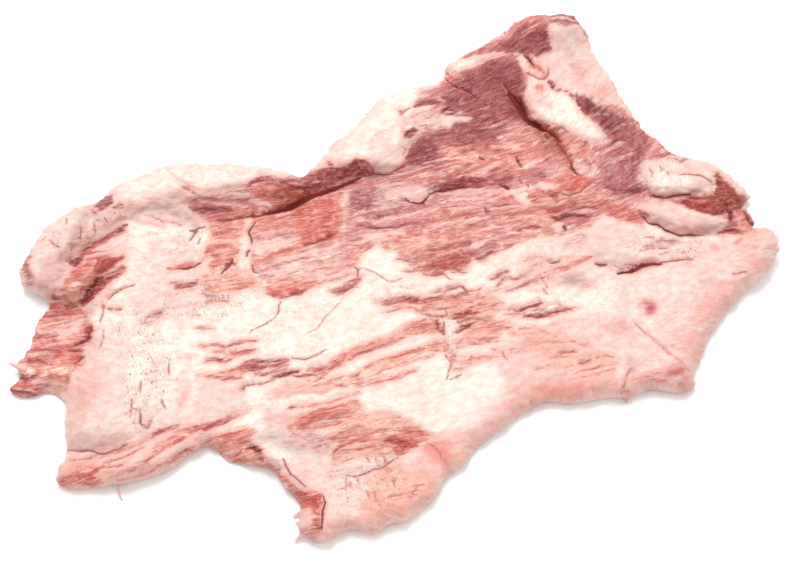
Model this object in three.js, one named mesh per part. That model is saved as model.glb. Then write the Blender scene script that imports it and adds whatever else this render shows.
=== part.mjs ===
// A raw pork secreto: one thin, fan-shaped slab of marbled meat, lying flat with its fat side up.
// Lengths are millimetres and +Z is up. The origin is the middle of the box round the meat, on
// the face that it rests on. +X runs along the slab towards its curled corner, and +Y runs
// across it towards the tall peak.

import * as THREE from 'three';

// Driving dimensions.
const MEAT_THICKNESS = 10;
const THINNEST_MEAT = 3;
const LUMP_HEIGHT = 0.22;
const LUMP_LENGTHS = [22, 60];
const LUMP_WAVES = 14;
const LUMP_SEED = 7;

// The rounded edge, as shares of its own thickness.
const EDGE_LINE_HEIGHT = 0.5;
const EDGE_LINE_TILT = 0.25;
const EDGE_ROUNDING = 0.8;
const EDGE_ROUNDING_TILT = 0.3;
const BELT_HEIGHT = 0.48;
const BELT_BULGE = 0.02;
const BELT_BULGE_TILT = 0.09;
const FOOT_TUCK = 0.17;
const FOOT_TUCK_TILT = 0.05;
const FOOT_TUCK_UNDER_LIFT = 1.4;

// The facets: triangles on the upper face, and samples along the outline.
const FACET_SIDE = 4;
const OUTLINE_STEP = 1.2;
const SNAP_SHARE = 0.35;
const SHORT_BORDER = 2.2;
const NORMAL_SPAN = 3;

// The outline and the marks were measured from one point, on a level plane that passes through
// the meat. settle() carries a measured point along its line of sight to the real height there.
const PLANE_HEIGHT = 8;
const EYE_DISTANCE = 787;
const EYE_ELEVATION = THREE.MathUtils.degToRad(60);
const EYE = new THREE.Vector3(
  0,
  -EYE_DISTANCE * Math.cos(EYE_ELEVATION),
  PLANE_HEIGHT + EYE_DISTANCE * Math.sin(EYE_ELEVATION),
);

// The outline, clockwise from the left end, in stretches with the thickness of the edge there.
const OUTLINE = [
  {
    what: 'rolled edge',
    thickness: 14,
    points: [
      [-157.3, 3], [-153.8, 13.2], [-149.3, 22.3], [-141.8, 31], [-134.6, 35.1], [-126.9, 38.8],
      [-120.5, 45.7], [-112, 50], [-99, 56.4], [-85, 57.2], [-68, 56.5], [-55, 55.1], [-44.5, 52.2],
    ],
  },
  {
    what: 'fat lobe',
    thickness: 13,
    points: [
      [-39.8, 50.5], [-34.9, 54.8], [-27.5, 66.5], [-20, 73.5], [-13.6, 81.7], [-7.5, 90], [6, 96],
      [20, 100.2],
    ],
  },
  {
    what: 'shoulder of the peak',
    thickness: 10,
    points: [
      [22.2, 102.6], [21.8, 107], [28.2, 113.3], [36.4, 118.5], [45.7, 125.1], [52, 130],
    ],
  },
  {
    what: 'peak',
    thickness: 14,
    points: [
      [57.7, 135.7], [62.6, 137.1], [72.5, 138.6], [81.2, 136.8], [85, 130], [87.1, 124],
    ],
  },
  {
    what: 'right side',
    thickness: 10,
    points: [
      [87.8, 115.2], [94.3, 104.8], [100, 90.6], [107.2, 76.8], [112.8, 70.4], [118.1, 64.3],
      [125.6, 59.8], [134.7, 57.1], [141.8, 51.9], [146.3, 47.1], [151.1, 40.8], [149.3, 32.7],
      [152.3, 27.3], [151, 23.6],
    ],
  },
  {
    what: 'curled corner',
    thickness: 11,
    points: [
      [157.4, 24], [161.3, 16.8], [158.3, 7.2], [149.9, -3],
    ],
  },
  {
    what: 'near edge of the fat sheet',
    thickness: 8,
    points: [
      [140, -12.2], [133, -21.5], [124.3, -35.9], [120.5, -45.5], [119.5, -52.9], [112.8, -54.3],
      [102.1, -52.9], [94.4, -56.2], [84.8, -56.4], [70.1, -59.1], [59.9, -58],
    ],
  },
  {
    what: 'lower lobe',
    thickness: 8,
    points: [
      [49.2, -63.5], [40.1, -71.3], [30, -80.3], [25.2, -86.5], [18.2, -92.6], [15, -99.5],
      [9.9, -104.7], [1.4, -110.5], [-2.8, -110.3], [-7.6, -114.5], [-18.1, -112.7],
      [-29.8, -118.1], [-35.5, -114.8], [-38.2, -109.4], [-37.3, -103],
    ],
  },
  {
    what: 'near left edge',
    thickness: 7,
    points: [
      [-43.6, -94.7], [-48.7, -87.5], [-55, -85.7], [-66.4, -83.6], [-74, -76.6], [-80.2, -79.5],
      [-89.8, -87.4], [-100, -91.6], [-112, -94], [-129.7, -94.9],
    ],
  },
  {
    what: 'end of the left dome',
    thickness: 9,
    points: [
      [-134.1, -90.7], [-130.1, -79.6], [-132.6, -65.2], [-133.1, -57],
    ],
  },
  {
    what: 'red flap',
    thickness: 5.5,
    points: [
      [-139.9, -53.2], [-150.1, -55.6], [-155.9, -51.4], [-152.2, -43.9], [-154, -39.1],
      [-149.3, -32.5], [-147.1, -19.9], [-143, -11.6],
    ],
  },
  {
    what: 'end of the roll',
    thickness: 12,
    points: [
      [-146.6, -8.9], [-153.8, -4.9],
    ],
  },
];

// Long swellings: a line, how far they spread to each side, and how far they rise.
const SWELLS = [
  {
    what: 'roll along the far left edge',
    line: [
      [-152, -1], [-150, 10], [-141, 21], [-128, 31], [-112, 41], [-96, 48], [-78, 50], [-60, 49],
      [-46, 49],
    ],
    reach: 17,
    rise: 6.5,
  },
  {
    what: 'far wall of the cleft',
    line: [[-48, 47], [-34, 49], [-22, 55], [-10, 60]],
    reach: 9,
    rise: 3,
  },
  {
    what: 'rim of the peak',
    line: [[50, 124], [60, 130], [72, 132], [80, 126], [84, 115]],
    reach: 13,
    rise: 4.5,
  },
  {
    what: 'fat beside the peak cleft',
    line: [[58, 100], [61, 86], [72, 79], [86, 73]],
    reach: 9,
    rise: 2.5,
  },
  { what: 'outer fat band', line: [[84, 112], [92, 98], [98, 84]], reach: 10, rise: 2 },
  {
    what: 'lip of the fat sheet',
    line: [[146, -2], [130, -22], [118, -46], [98, -48], [70, -52]],
    reach: 13,
    rise: 1.5,
  },
  { what: 'standing fat seam', line: [[-61, 31], [-62, 20], [-62, 9]], reach: 6, rise: 2 },
  {
    what: 'rim of the lower lobe',
    line: [[-33, -110], [-20, -106], [-4, -104], [10, -95], [20, -84]],
    reach: 10,
    rise: 2.5,
  },
  {
    what: 'left shoulder of the lower lobe',
    line: [[-34, -104], [-40, -92], [-50, -82]],
    reach: 8,
    rise: 1.5,
  },
  {
    what: 'rim of the near left edge',
    line: [[-128, -88], [-112, -88], [-94, -82], [-80, -74]],
    reach: 8,
    rise: 1.5,
  },
  { what: 'fat tongue over the lean', line: [[-15, 4], [-6, 0], [4, -4]], reach: 8, rise: 1.5 },
];

// Plateaus: a ring, the width of the slope at its border, and how far the inside rises.
const PLATEAUS = [
  {
    what: 'fat lobe',
    ring: [
      [-33, 57], [-28, 62], [-20, 73], [-10, 86], [-5, 90], [8, 84], [12, 76], [5, 70], [0, 62],
      [2, 56], [-8, 51], [-20, 58],
    ],
    slope: 8,
    rise: 5,
  },
  {
    what: 'red flap, lower than the dome',
    ring: [
      [-165, -62], [-134, -58], [-131.5, -47], [-127, -39], [-123, -34], [-128.5, -20],
      [-127, -13], [-139, -8], [-165, -10],
    ],
    slope: 3.5,
    rise: -4.5,
  },
  {
    what: 'left dome',
    ring: [
      [-126, -72], [-128, -50], [-121, -33], [-122, -18], [-110, -10], [-100, -30], [-98, -60], [-104, -74],
    ],
    slope: 14,
    rise: 4.5,
  },
  {
    what: 'loose tongue in the pocket',
    ring: [
      [-113, 10], [-128, 10.5], [-133, 5], [-140, -5], [-136, -9], [-132, -10], [-127, -3], [-117, 4],
    ],
    slope: 4,
    rise: 2.5,
  },
  {
    what: 'far fat pad',
    ring: [
      [106, 43], [110, 54], [121, 58], [133, 56], [137, 48], [126, 42.5], [113, 41],
    ],
    slope: 5,
    rise: 4,
  },
  {
    what: 'near fat pad',
    ring: [
      [102, 35], [112, 36], [130, 33], [142, 28], [138, 23], [121, 21], [108, 27],
    ],
    slope: 5,
    rise: 4.5,
  },
  {
    what: 'curled corner',
    ring: [
      [147, 0], [151, 12], [152.5, 21], [157, 22], [160, 16], [156, 6], [149, -2],
    ],
    slope: 8,
    rise: 6,
  },
  {
    what: 'raised left flap',
    ring: [[-157, -44], [-155, -38], [-146, -38], [-143, -43]],
    slope: 3,
    rise: 1.5,
  },
  { what: 'torn flap of lean', ring: [[70, 41], [72, 50], [84, 49], [79, 44]], slope: 3, rise: 1.5 },
  {
    what: 'thinner lower lobe',
    ring: [
      [-38, -80], [-30, -108], [0, -104], [20, -88], [34, -74], [20, -70], [-10, -74],
    ],
    slope: 16,
    rise: -2,
  },
];

// Clefts and creases: a line, how far they open to each side, and how deep they are.
const CREASES = [
  {
    what: 'long cleft under the roll',
    line: [
      [-66, 31], [-50, 34], [-40, 38.5], [-30, 44.5], [-22, 47], [-14, 50.5], [-9, 51],
    ],
    reach: 7.5,
    drop: 4.5,
  },
  {
    what: 'fold under the roll',
    line: [[-113, 27], [-98, 32], [-82, 31], [-66, 31]],
    reach: 8,
    drop: 2.5,
  },
  {
    what: 'pocket in the roll',
    line: [[-115, 24], [-120, 20], [-127, 16], [-131, 12], [-136, 8]],
    reach: 6.5,
    drop: 5,
  },
  {
    what: 'cavity beside the tongue',
    line: [[-120, 2], [-125, -1], [-128, -6], [-132, -12]],
    reach: 6,
    drop: 4.5,
  },
  { what: 'mouth of the pocket', line: [[-140, -8], [-132, -13], [-126, -16]], reach: 4, drop: 2 },
  {
    what: 'cleft of the peak',
    line: [
      [47, 101], [50, 95], [53, 88], [58.5, 77.5], [64, 74.5], [70, 66], [76, 58], [80, 51],
    ],
    reach: 6.5,
    drop: 3.5,
  },
  { what: 'crease left of the peak', line: [[25, 100], [32, 96], [37, 90]], reach: 6.5, drop: 2 },
  {
    what: 'gap between the fat pads',
    line: [[105, 39], [114, 38.5], [128, 38], [140, 34], [150, 31]],
    reach: 6.5,
    drop: 2.5,
  },
  { what: 'fold of the far fat pad', line: [[123, 50.5], [130, 50], [137, 46]], reach: 6, drop: 1.5 },
  {
    what: 'crease under the near fat pad',
    line: [
      [104, 29], [111, 24.5], [116, 21], [122, 19], [133, 20.5], [143, 23], [150, 24],
    ],
    reach: 6.5,
    drop: 3,
  },
  {
    what: 'crevice in the fat sheet',
    line: [[91, 2], [101, 4.5], [116, 7], [125, 7.5]],
    reach: 6,
    drop: 1.5,
  },
  {
    what: 'crease across the dome',
    line: [[-132, -79], [-119, -80], [-108, -76]],
    reach: 6.5,
    drop: 2.5,
  },
  {
    what: 'crease in the middle fat',
    line: [[-22, -8], [-29, -19], [-36, -27], [-43, -20]],
    reach: 5,
    drop: 1,
  },
  {
    what: 'crack in the lower lobe',
    line: [[-20, -90], [-12, -89], [-5, -86], [0, -82]],
    reach: 6,
    drop: 1.5,
  },
  { what: 'groove through the lean', line: [[20, 42], [33, 43], [45, 45]], reach: 4.5, drop: 1.5 },
  { what: 'notch in the near left edge', line: [[-62, -80], [-58, -76]], reach: 5, drop: 3 },
  { what: 'gathered knot', line: [[20, -24], [24, -24]], reach: 6, drop: 1.2 },
];

// Overlaps: the meat to the left of the line, walking along it, lies higher and levels out.
const OVERLAPS = [
  {
    what: 'fold of the fat sheet',
    line: [
      [119, -44], [115, -38], [110, -33], [106, -30], [101, -25], [95, -19],
    ],
    reach: 9,
    rise: 2.5,
  },
  { what: 'second fold', line: [[92, -53], [91, -49], [94, -44], [99, -39]], reach: 6, rise: 1.5 },
  {
    what: 'edge of the dome',
    line: [[-122, -25], [-121.5, -17], [-119, -9], [-110, -3]],
    reach: 7,
    rise: 1,
  },
];

// Places where the lower face leaves the table near the edge.
const LIFTS = [
  { what: 'curled corner', at: [159, 13], reach: 24, lift: 3.5 },
  { what: 'end of the roll', at: [-155, 0], reach: 14, lift: 1.5 },
  { what: 'tip of the lower lobe', at: [-32, -117], reach: 12, lift: 1 },
];

const MEAT_FINISH = { color: 0xecc0b5, roughness: 0.5, metalness: 0 };

function randomNumbers(seed) {
  let state = seed;
  return () => {
    state = (state * 1664525 + 1013904223) % 4294967296;
    return state / 4294967296;
  };
}

function smoothStep(share) {
  const t = THREE.MathUtils.clamp(share, 0, 1);
  return t * t * (3 - 2 * t);
}

function settle(x, y, z) {
  const share = (EYE.z - z) / (EYE.z - PLANE_HEIGHT);
  return new THREE.Vector3(EYE.x + (x - EYE.x) * share, EYE.y + (y - EYE.y) * share, z);
}

// The nearest point of a polyline: its distance, and which side of the line (x, y) is on.
function nearestOnLine(x, y, line, closed = false) {
  let best = { distance: Infinity, x: 0, y: 0, left: false, segment: 0, share: 0 };
  const segments = closed ? line.length : line.length - 1;
  for (let k = 0; k < segments; k += 1) {
    const [ax, ay] = line[k];
    const [bx, by] = line[(k + 1) % line.length];
    const dx = bx - ax;
    const dy = by - ay;
    const along = ((x - ax) * dx + (y - ay) * dy) / (dx * dx + dy * dy);
    const share = THREE.MathUtils.clamp(along, 0, 1);
    const px = ax + dx * share;
    const py = ay + dy * share;
    const distance = Math.hypot(x - px, y - py);
    if (distance < best.distance) {
      const left = dx * (y - ay) - dy * (x - ax) > 0;
      best = { distance, x: px, y: py, left, segment: k, share };
    }
  }
  return best;
}

function isInside(x, y, ring) {
  let inside = false;
  for (let k = 0; k < ring.length; k += 1) {
    const [ax, ay] = ring[k];
    const [bx, by] = ring[(k + 1) % ring.length];
    if (ay > y !== by > y && x < ax + ((y - ay) * (bx - ax)) / (by - ay)) inside = !inside;
  }
  return inside;
}

// The outline as one closed curve. Its third coordinate carries the thickness of the edge.
function sampleOutline() {
  const knots = OUTLINE.flatMap(({ thickness, points }) => (
    points.map(([x, y]) => new THREE.Vector3(x, y, thickness))
  ));
  const curve = new THREE.CatmullRomCurve3(knots, true, 'centripetal');
  const count = Math.round(curve.getLength() / OUTLINE_STEP);
  const samples = curve.getSpacedPoints(count).slice(0, count);
  return {
    ring: samples.map((p) => [p.x, p.y]),
    thickness: samples.map((p) => p.z),
  };
}

function makeLumps() {
  const random = randomNumbers(LUMP_SEED);
  const [shortest, longest] = LUMP_LENGTHS;
  return Array.from({ length: LUMP_WAVES }, () => {
    const heading = random() * Math.PI;
    const turns = (2 * Math.PI) / (shortest + (longest - shortest) * random());
    return { kx: Math.cos(heading) * turns, ky: Math.sin(heading) * turns, phase: random() * 2 * Math.PI };
  });
}

function lumpHeight(x, y, lumps) {
  const sum = lumps.reduce((total, wave) => (
    total + Math.sin(wave.kx * x + wave.ky * y + wave.phase)
  ), 0);
  return LUMP_HEIGHT * sum;
}

// A rounded hump across a line, one at its middle and nothing beyond its reach.
function hump(distance, reach) {
  return 0.5 + 0.5 * Math.cos(Math.PI * Math.min(distance / reach, 1));
}

function bodyHeight(x, y, lumps) {
  let height = MEAT_THICKNESS + lumpHeight(x, y, lumps);
  for (const { line, reach, rise } of SWELLS) {
    height += rise * hump(nearestOnLine(x, y, line).distance, reach);
  }
  for (const { ring, slope, rise } of PLATEAUS) {
    const { distance } = nearestOnLine(x, y, ring, true);
    const inward = isInside(x, y, ring) ? distance : -distance;
    height += rise * smoothStep(0.5 + inward / slope);
  }
  for (const { line, reach, rise } of OVERLAPS) {
    const { distance, left } = nearestOnLine(x, y, line);
    if (left) height += rise * hump(distance, reach);
  }
  for (const { line, reach, drop } of CREASES) {
    height -= drop * hump(nearestOnLine(x, y, line).distance, reach);
  }
  return Math.max(height, THINNEST_MEAT);
}

function edgeNear(x, y, outline) {
  const near = nearestOnLine(x, y, outline.ring, true);
  const next = (near.segment + 1) % outline.ring.length;
  const [ax, ay] = outline.ring[near.segment];
  const [bx, by] = outline.ring[next];
  const length = Math.hypot(bx - ax, by - ay);
  return {
    distance: near.distance,
    thickness: THREE.MathUtils.lerp(outline.thickness[near.segment], outline.thickness[next], near.share),
    facing: (bx - ax) / length,
  };
}

// Height of the outline itself: low where it faces the eye, high where it turns away.
function edgeLineHeight({ thickness, facing }, lift) {
  return lift + thickness * (EDGE_LINE_HEIGHT + EDGE_LINE_TILT * facing);
}

function liftAt(x, y) {
  return LIFTS.reduce((total, { at, reach, lift }) => (
    total + lift * hump(Math.hypot(x - at[0], y - at[1]), reach)
  ), 0);
}

function upperHeight(x, y, outline, lumps) {
  const edge = edgeNear(x, y, outline);
  const lift = liftAt(x, y);
  const low = edgeLineHeight(edge, lift);
  const width = edge.thickness * (EDGE_ROUNDING - EDGE_ROUNDING_TILT * edge.facing);
  const gap = 1 - Math.min(edge.distance / width, 1);
  const roundness = Math.sqrt(1 - gap * gap);
  return low + (Math.max(bodyHeight(x, y, lumps) + lift, low) - low) * roundness;
}

function onOutline(x, y, outline) {
  const near = nearestOnLine(x, y, outline.ring, true);
  return { x: near.x, y: near.y, inward: 0 };
}

// A lattice of equal triangles over the outline. Corners that lie close to it move onto it.
function makeLattice(outline) {
  const xs = outline.ring.map(([x]) => x);
  const ys = outline.ring.map(([, y]) => y);
  const rowGap = FACET_SIDE * Math.sqrt(0.75);
  const columns = Math.ceil((Math.max(...xs) - Math.min(...xs)) / FACET_SIDE) + 3;
  const rows = Math.ceil((Math.max(...ys) - Math.min(...ys)) / rowGap) + 3;
  const corners = [];
  for (let row = 0; row < rows; row += 1) {
    for (let column = 0; column < columns; column += 1) {
      const x = Math.min(...xs) + (column - 1 + 0.5 * (row % 2)) * FACET_SIDE;
      const y = Math.min(...ys) + (row - 1) * rowGap;
      const { distance } = nearestOnLine(x, y, outline.ring, true);
      const close = distance < SNAP_SHARE * FACET_SIDE;
      const inward = isInside(x, y, outline.ring) ? distance : -distance;
      corners.push(close ? onOutline(x, y, outline) : { x, y, inward });
    }
  }
  const triangles = [];
  for (let row = 0; row < rows - 1; row += 1) {
    for (let column = 0; column < columns - 1; column += 1) {
      const a = row * columns + column;
      const b = a + 1;
      const c = a + columns;
      const d = c + 1;
      if (row % 2 === 0) triangles.push([a, b, c], [b, d, c]);
      else triangles.push([a, b, d], [a, d, c]);
    }
  }
  return { corners, triangles };
}

// Cuts the lattice along the outline and keeps what is inside.
function clipLattice({ corners, triangles }, outline) {
  const kept = [];
  const crossings = new Map();
  const crossing = (a, b) => {
    const key = a < b ? `${a} ${b}` : `${b} ${a}`;
    if (!crossings.has(key)) {
      const [p, q] = [corners[a], corners[b]];
      const share = p.inward / (p.inward - q.inward);
      const x = THREE.MathUtils.lerp(p.x, q.x, share);
      const y = THREE.MathUtils.lerp(p.y, q.y, share);
      corners.push(onOutline(x, y, outline));
      crossings.set(key, corners.length - 1);
    }
    return crossings.get(key);
  };
  for (const triangle of triangles) {
    const ring = [];
    triangle.forEach((a, k) => {
      const b = triangle[(k + 1) % 3];
      if (corners[a].inward >= 0) ring.push(a);
      if (corners[a].inward * corners[b].inward < 0) ring.push(crossing(a, b));
    });
    const cx = triangle.reduce((sum, a) => sum + corners[a].x / 3, 0);
    const cy = triangle.reduce((sum, a) => sum + corners[a].y / 3, 0);
    const allOnOutline = triangle.every((a) => corners[a].inward === 0);
    if (allOnOutline && !isInside(cx, cy, outline.ring)) continue;
    for (let k = 2; k < ring.length; k += 1) kept.push([ring[0], ring[k - 1], ring[k]]);
  }
  return kept;
}

// The edges that belong to one triangle only, as a map from each corner to the next.
function findBorder(triangles) {
  const edges = new Set(triangles.flatMap(([a, b, c]) => [`${a} ${b}`, `${b} ${c}`, `${c} ${a}`]));
  const border = new Map();
  for (const edge of edges) {
    const [a, b] = edge.split(' ').map(Number);
    if (!edges.has(`${b} ${a}`)) border.set(a, b);
  }
  return border;
}

// Halves every longer border edge, with the new corner on the outline, for a finer silhouette.
function refineBorder(corners, triangles, outline) {
  const border = findBorder(triangles);
  return triangles.flatMap((triangle) => {
    const side = triangle.findIndex((a, k) => border.get(a) === triangle[(k + 1) % 3]);
    if (side < 0) return [triangle];
    const [a, b, c] = [0, 1, 2].map((k) => triangle[(side + k) % 3]);
    const [p, q] = [corners[a], corners[b]];
    if (Math.hypot(p.x - q.x, p.y - q.y) < SHORT_BORDER) return [triangle];
    const x = (p.x + q.x) / 2;
    const y = (p.y + q.y) / 2;
    const middle = corners.push(onOutline(x, y, outline)) - 1;
    return [[a, middle, c], [middle, b, c]];
  });
}

function walkBorder(border) {
  const first = border.keys().next().value;
  const loop = [first];
  for (let corner = border.get(first); corner !== first; corner = border.get(corner)) {
    loop.push(corner);
  }
  return loop;
}

// Adds the rounded wall under the edge, in two bands, and closes the flat lower face.
function closeBelow(points, loop, outline, corners) {
  const count = loop.length;
  const triangles = [];
  const rings = [loop, [], []];
  loop.forEach((corner, k) => {
    const before = points[loop[(k + count - NORMAL_SPAN) % count]];
    const after = points[loop[(k + NORMAL_SPAN) % count]];
    const inward = new THREE.Vector3(before.y - after.y, after.x - before.x, 0).normalize();
    const { thickness, facing } = edgeNear(corners[corner].x, corners[corner].y, outline);
    const lift = liftAt(corners[corner].x, corners[corner].y);
    const bulge = thickness * (BELT_BULGE + BELT_BULGE_TILT * facing);
    const tuck = thickness * (FOOT_TUCK - FOOT_TUCK_TILT * facing) + FOOT_TUCK_UNDER_LIFT * lift;
    const top = points[corner];
    const belt = top.clone().addScaledVector(inward, -bulge);
    belt.z = lift + BELT_HEIGHT * (top.z - lift);
    const foot = top.clone().addScaledVector(inward, tuck);
    foot.z = 0;
    rings[1].push(points.push(belt) - 1);
    rings[2].push(points.push(foot) - 1);
  });
  for (const [upper, lower] of [[rings[0], rings[1]], [rings[1], rings[2]]]) {
    for (let k = 0; k < count; k += 1) {
      const next = (k + 1) % count;
      triangles.push([upper[k], lower[k], lower[next]], [upper[k], lower[next], upper[next]]);
    }
  }
  const foot = rings[2].map((k) => new THREE.Vector2(points[k].x, points[k].y));
  for (const [a, b, c] of THREE.ShapeUtils.triangulateShape(foot, [])) {
    triangles.push([rings[2][a], rings[2][c], rings[2][b]]);
  }
  return triangles;
}

function makeSlab() {
  const outline = sampleOutline();
  const lumps = makeLumps();
  const { corners, triangles } = makeLattice(outline);
  const inside = clipLattice({ corners, triangles }, outline);
  const upper = refineBorder(corners, inside, outline);
  const used = [...new Set(upper.flat())];
  const places = new Map(used.map((corner, k) => [corner, k]));
  const flat = used.map((corner) => corners[corner]);
  const faces = upper.map((triangle) => triangle.map((corner) => places.get(corner)));
  const points = flat.map(({ x, y }) => settle(x, y, upperHeight(x, y, outline, lumps)));
  const loop = walkBorder(findBorder(faces));
  faces.push(...closeBelow(points, loop, outline, flat));

  const geometry = new THREE.BufferGeometry();
  const coordinates = points.flatMap((point) => point.toArray());
  geometry.setAttribute('position', new THREE.Float32BufferAttribute(coordinates, 3));
  geometry.setIndex(faces.flat());
  geometry.computeBoundingBox();
  const middle = geometry.boundingBox.getCenter(new THREE.Vector3());
  geometry.translate(-middle.x, -middle.y, 0);
  geometry.computeVertexNormals();
  return geometry;
}

const secreto = new THREE.Mesh(makeSlab(), new THREE.MeshStandardMaterial(MEAT_FINISH));
secreto.name = 'secreto';

const group = new THREE.Group();
group.add(secreto);

export default group;
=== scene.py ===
import math

import bpy
import numpy as np
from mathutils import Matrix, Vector


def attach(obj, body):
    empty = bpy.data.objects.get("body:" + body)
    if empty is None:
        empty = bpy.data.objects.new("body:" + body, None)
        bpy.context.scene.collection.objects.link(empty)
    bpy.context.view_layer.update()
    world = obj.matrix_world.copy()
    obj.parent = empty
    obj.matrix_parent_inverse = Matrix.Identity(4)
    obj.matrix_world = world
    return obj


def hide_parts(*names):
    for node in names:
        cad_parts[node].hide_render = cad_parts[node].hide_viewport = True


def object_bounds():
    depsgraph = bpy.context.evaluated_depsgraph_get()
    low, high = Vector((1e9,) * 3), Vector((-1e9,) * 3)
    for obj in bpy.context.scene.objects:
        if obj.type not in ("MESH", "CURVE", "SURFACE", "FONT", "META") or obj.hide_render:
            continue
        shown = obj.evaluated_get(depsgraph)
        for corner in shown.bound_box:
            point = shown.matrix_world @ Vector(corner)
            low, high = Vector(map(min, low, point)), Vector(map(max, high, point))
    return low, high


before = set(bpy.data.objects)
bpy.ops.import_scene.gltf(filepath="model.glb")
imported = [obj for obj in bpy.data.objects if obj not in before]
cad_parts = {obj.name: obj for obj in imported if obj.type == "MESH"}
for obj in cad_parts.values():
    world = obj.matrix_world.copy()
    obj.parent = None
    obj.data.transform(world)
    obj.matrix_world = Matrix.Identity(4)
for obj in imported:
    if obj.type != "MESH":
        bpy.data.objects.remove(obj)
cad_low, cad_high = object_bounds()

# ---------------------------------------------------------------------------------------
# Sizes. Marks on the meat are drawn in millimetres on a level plane, as seen from one
# point in front of the meat and above it. The drawing's zero lies this far inside the box.
# ---------------------------------------------------------------------------------------
MM = 0.001
ZERO_FROM_LEFT = 157.54 * MM
ZERO_FROM_NEAR = 116.0 * MM
PLANE_HEIGHT = 8.0
EYE_DISTANCE = 787.0
EYE_ELEVATION = math.radians(60)
EYE = np.array([
    0.0,
    -EYE_DISTANCE * math.cos(EYE_ELEVATION),
    PLANE_HEIGHT + EYE_DISTANCE * math.sin(EYE_ELEVATION),
])
ZERO = np.array([cad_low.x + ZERO_FROM_LEFT, cad_low.y + ZERO_FROM_NEAR, cad_low.z])
AIM = np.array([1.67, -1.68, PLANE_HEIGHT])

VOXEL = 0.89 * MM
SMOOTHING_ROUNDS = 6
UNDERSIDE_HEIGHT = 0.25 * MM
UNDERSIDE_KEPT = 0.06

# Colours as they look in the studio's light, in sRGB out of 255.
FAT_COLOURS = {
    "ivory": (268, 256, 243),
    "cream": (266, 246, 232),
    "pale pink": (264, 231, 221),
    "pink fat": (260, 216, 208),
    "thin fat": (256, 204, 190),
    "rosy fat": (253, 193, 183),
    # Grey and dusky fat are partly the fat's own greyish tone where lean shows through a thin film, and
    # partly painted shade in hollows, folds and the trough under the roll.
    "grey fat and shade": (234, 203, 195),
    "dusky fat and shade": (211, 167, 161),
    "tan": (220, 166, 150),
    "blush": (244, 150, 154),
    "crimson": (188, 34, 50),
}
LEAN_COLOURS = {
    "pale lean": (250, 200, 190),
    "peach": (252, 184, 164),
    "salmon": (244, 155, 142),
    "coral": (233, 118, 103),
    "pink lean": (232, 156, 150),
    "rose": (214, 122, 118),
    "red": (196, 84, 78),
    "brick": (170, 68, 62),
    "mauve": (189, 110, 113),
    "maroon": (168, 80, 82),
    "dark maroon": (142, 58, 61),
    "brown": (118, 48, 42),
    "blood": (126, 24, 14),
}
COLOURS = {**FAT_COLOURS, **LEAN_COLOURS}
LIGHT_ON_MEAT = 1.55
DARK_STREAK = (0.7, 0.49, 0.47)
DARK_MOTTLE, PALE_MOTTLE = (0.9, 0.77, 0.76), (1.2, 1.45, 1.35)
FLUSH, BLOOM = (0.98, 0.88, 0.86), (1.02, 1.11, 1.11)

MERGE_DISTANCE = 0.01 * MM
STREAK_TAPER = 0.35
DEEPEST = 4.0
SOFT_EDGE = 3.0
SOFT_SHARE = 0.85
THIN_STREAK = 2.5
THIN_STREAK_LOSS = 0.35
# How far inside a mark's edge, in mm, its colour starts and is full: over its own kind of
# tissue, and over the other kind.
LEAN_OVER_LEAN, FAT_OVER_FAT, OVER_THE_OTHER = (-0.4, 0.4), (-0.8, 0.8), (-1.8, -0.6)

CRACK_REACH = 5.0
CRACK_TIP = 0.03
CRACK_WIDTH = 0.34
CRACK_WARP = 0.6
DIP_WIDTH, NARROWEST_DIP, THIN_CRACK, THIN_CRACK_DIP = 0.7, 0.9, 1.25, 0.55

# The relief, in mm. The fibres rise less where fat covers them.
FAT_RISE, LUMP_RISE, BUNDLE_RISE, THREAD_RISE, EDGE_RISE = 0.5, 0.5, 0.4, 0.25, 0.8
FIBRES_COVERED = 0.6
RISING_FAT = (-1.2, 1.2)
# How far up the surface faces, as a share, where each of these starts and is full.
SHADE_TINT_SLOPE, RAGGED_SLOPE, RAISED_SLOPE = (0.97, 0.75), (0.9, 0.3), (-0.4, 0.2)
# Fat that turns away from straight up is laid towards thin fat: painted warm shade on its slopes, and
# partly the pinker, thinner fat at its rims.
SLOPE_SHADE_TINT = 0.6

# Layers of noise on the drawing: the amount, the size in mm and the seed.
WARP_X, WARP_Y = ((0.55, 5, 1), (0.275, 2, 2)), ((0.55, 5, 3), (0.275, 2, 4))
LUMPS = ((0.6, 7, 7), (0.4, 3, 9))
RAGS = ((1.0, 2.6, 8), (0.5, 1.4, 10))
# Noise along the grain: its length and width in mm and the seed. Wander has an amount first.
BUNDLES, THREADS = (16, 2.6, 5), (8, 1.5, 6)
WANDER = ((0.9, 12, 6, 11), (0.3, 5, 3, 12))

GRAIN_HALF_LENGTH, GRAIN_HALF_WIDTH = 200.0, 170.0
GRAIN_FLOOR = 0.02

# The noises of the finish: length along the grain and across it in mm, detail and roughness.
NOISES = {
    "bundles": (11, 1.5, 3, 0.6),
    "threads": (4, 0.55, 3, 0.6),
    "crumbs": (2.2, 1.3, 4, 0.65),
    "blotches": (16, 9, 3, 0.6),
    "mottles": (4.5, 2.6, 3, 0.6),
    "hairs": (3.2, 0.36, 2, 0.5),
    "creases": (6, 1.6, 2, 0.5),
    "fissures": (1.3, 4.5, 2, 0.5),
    "specks": (0.9, 1.4, 2, 0.5),
    "breaks": (1.2, 1.6, 1, 0.5),
}
BUNDLE_SHARE = 0.45
SWAY = {"bundles": 2.4, "threads": 1.4, "crumbs": 1.2}
LEAST_LIVELY = 0.2
SHALLOW_WOBBLE, DEEP_WOBBLE = 3.4, 1.2

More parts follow.
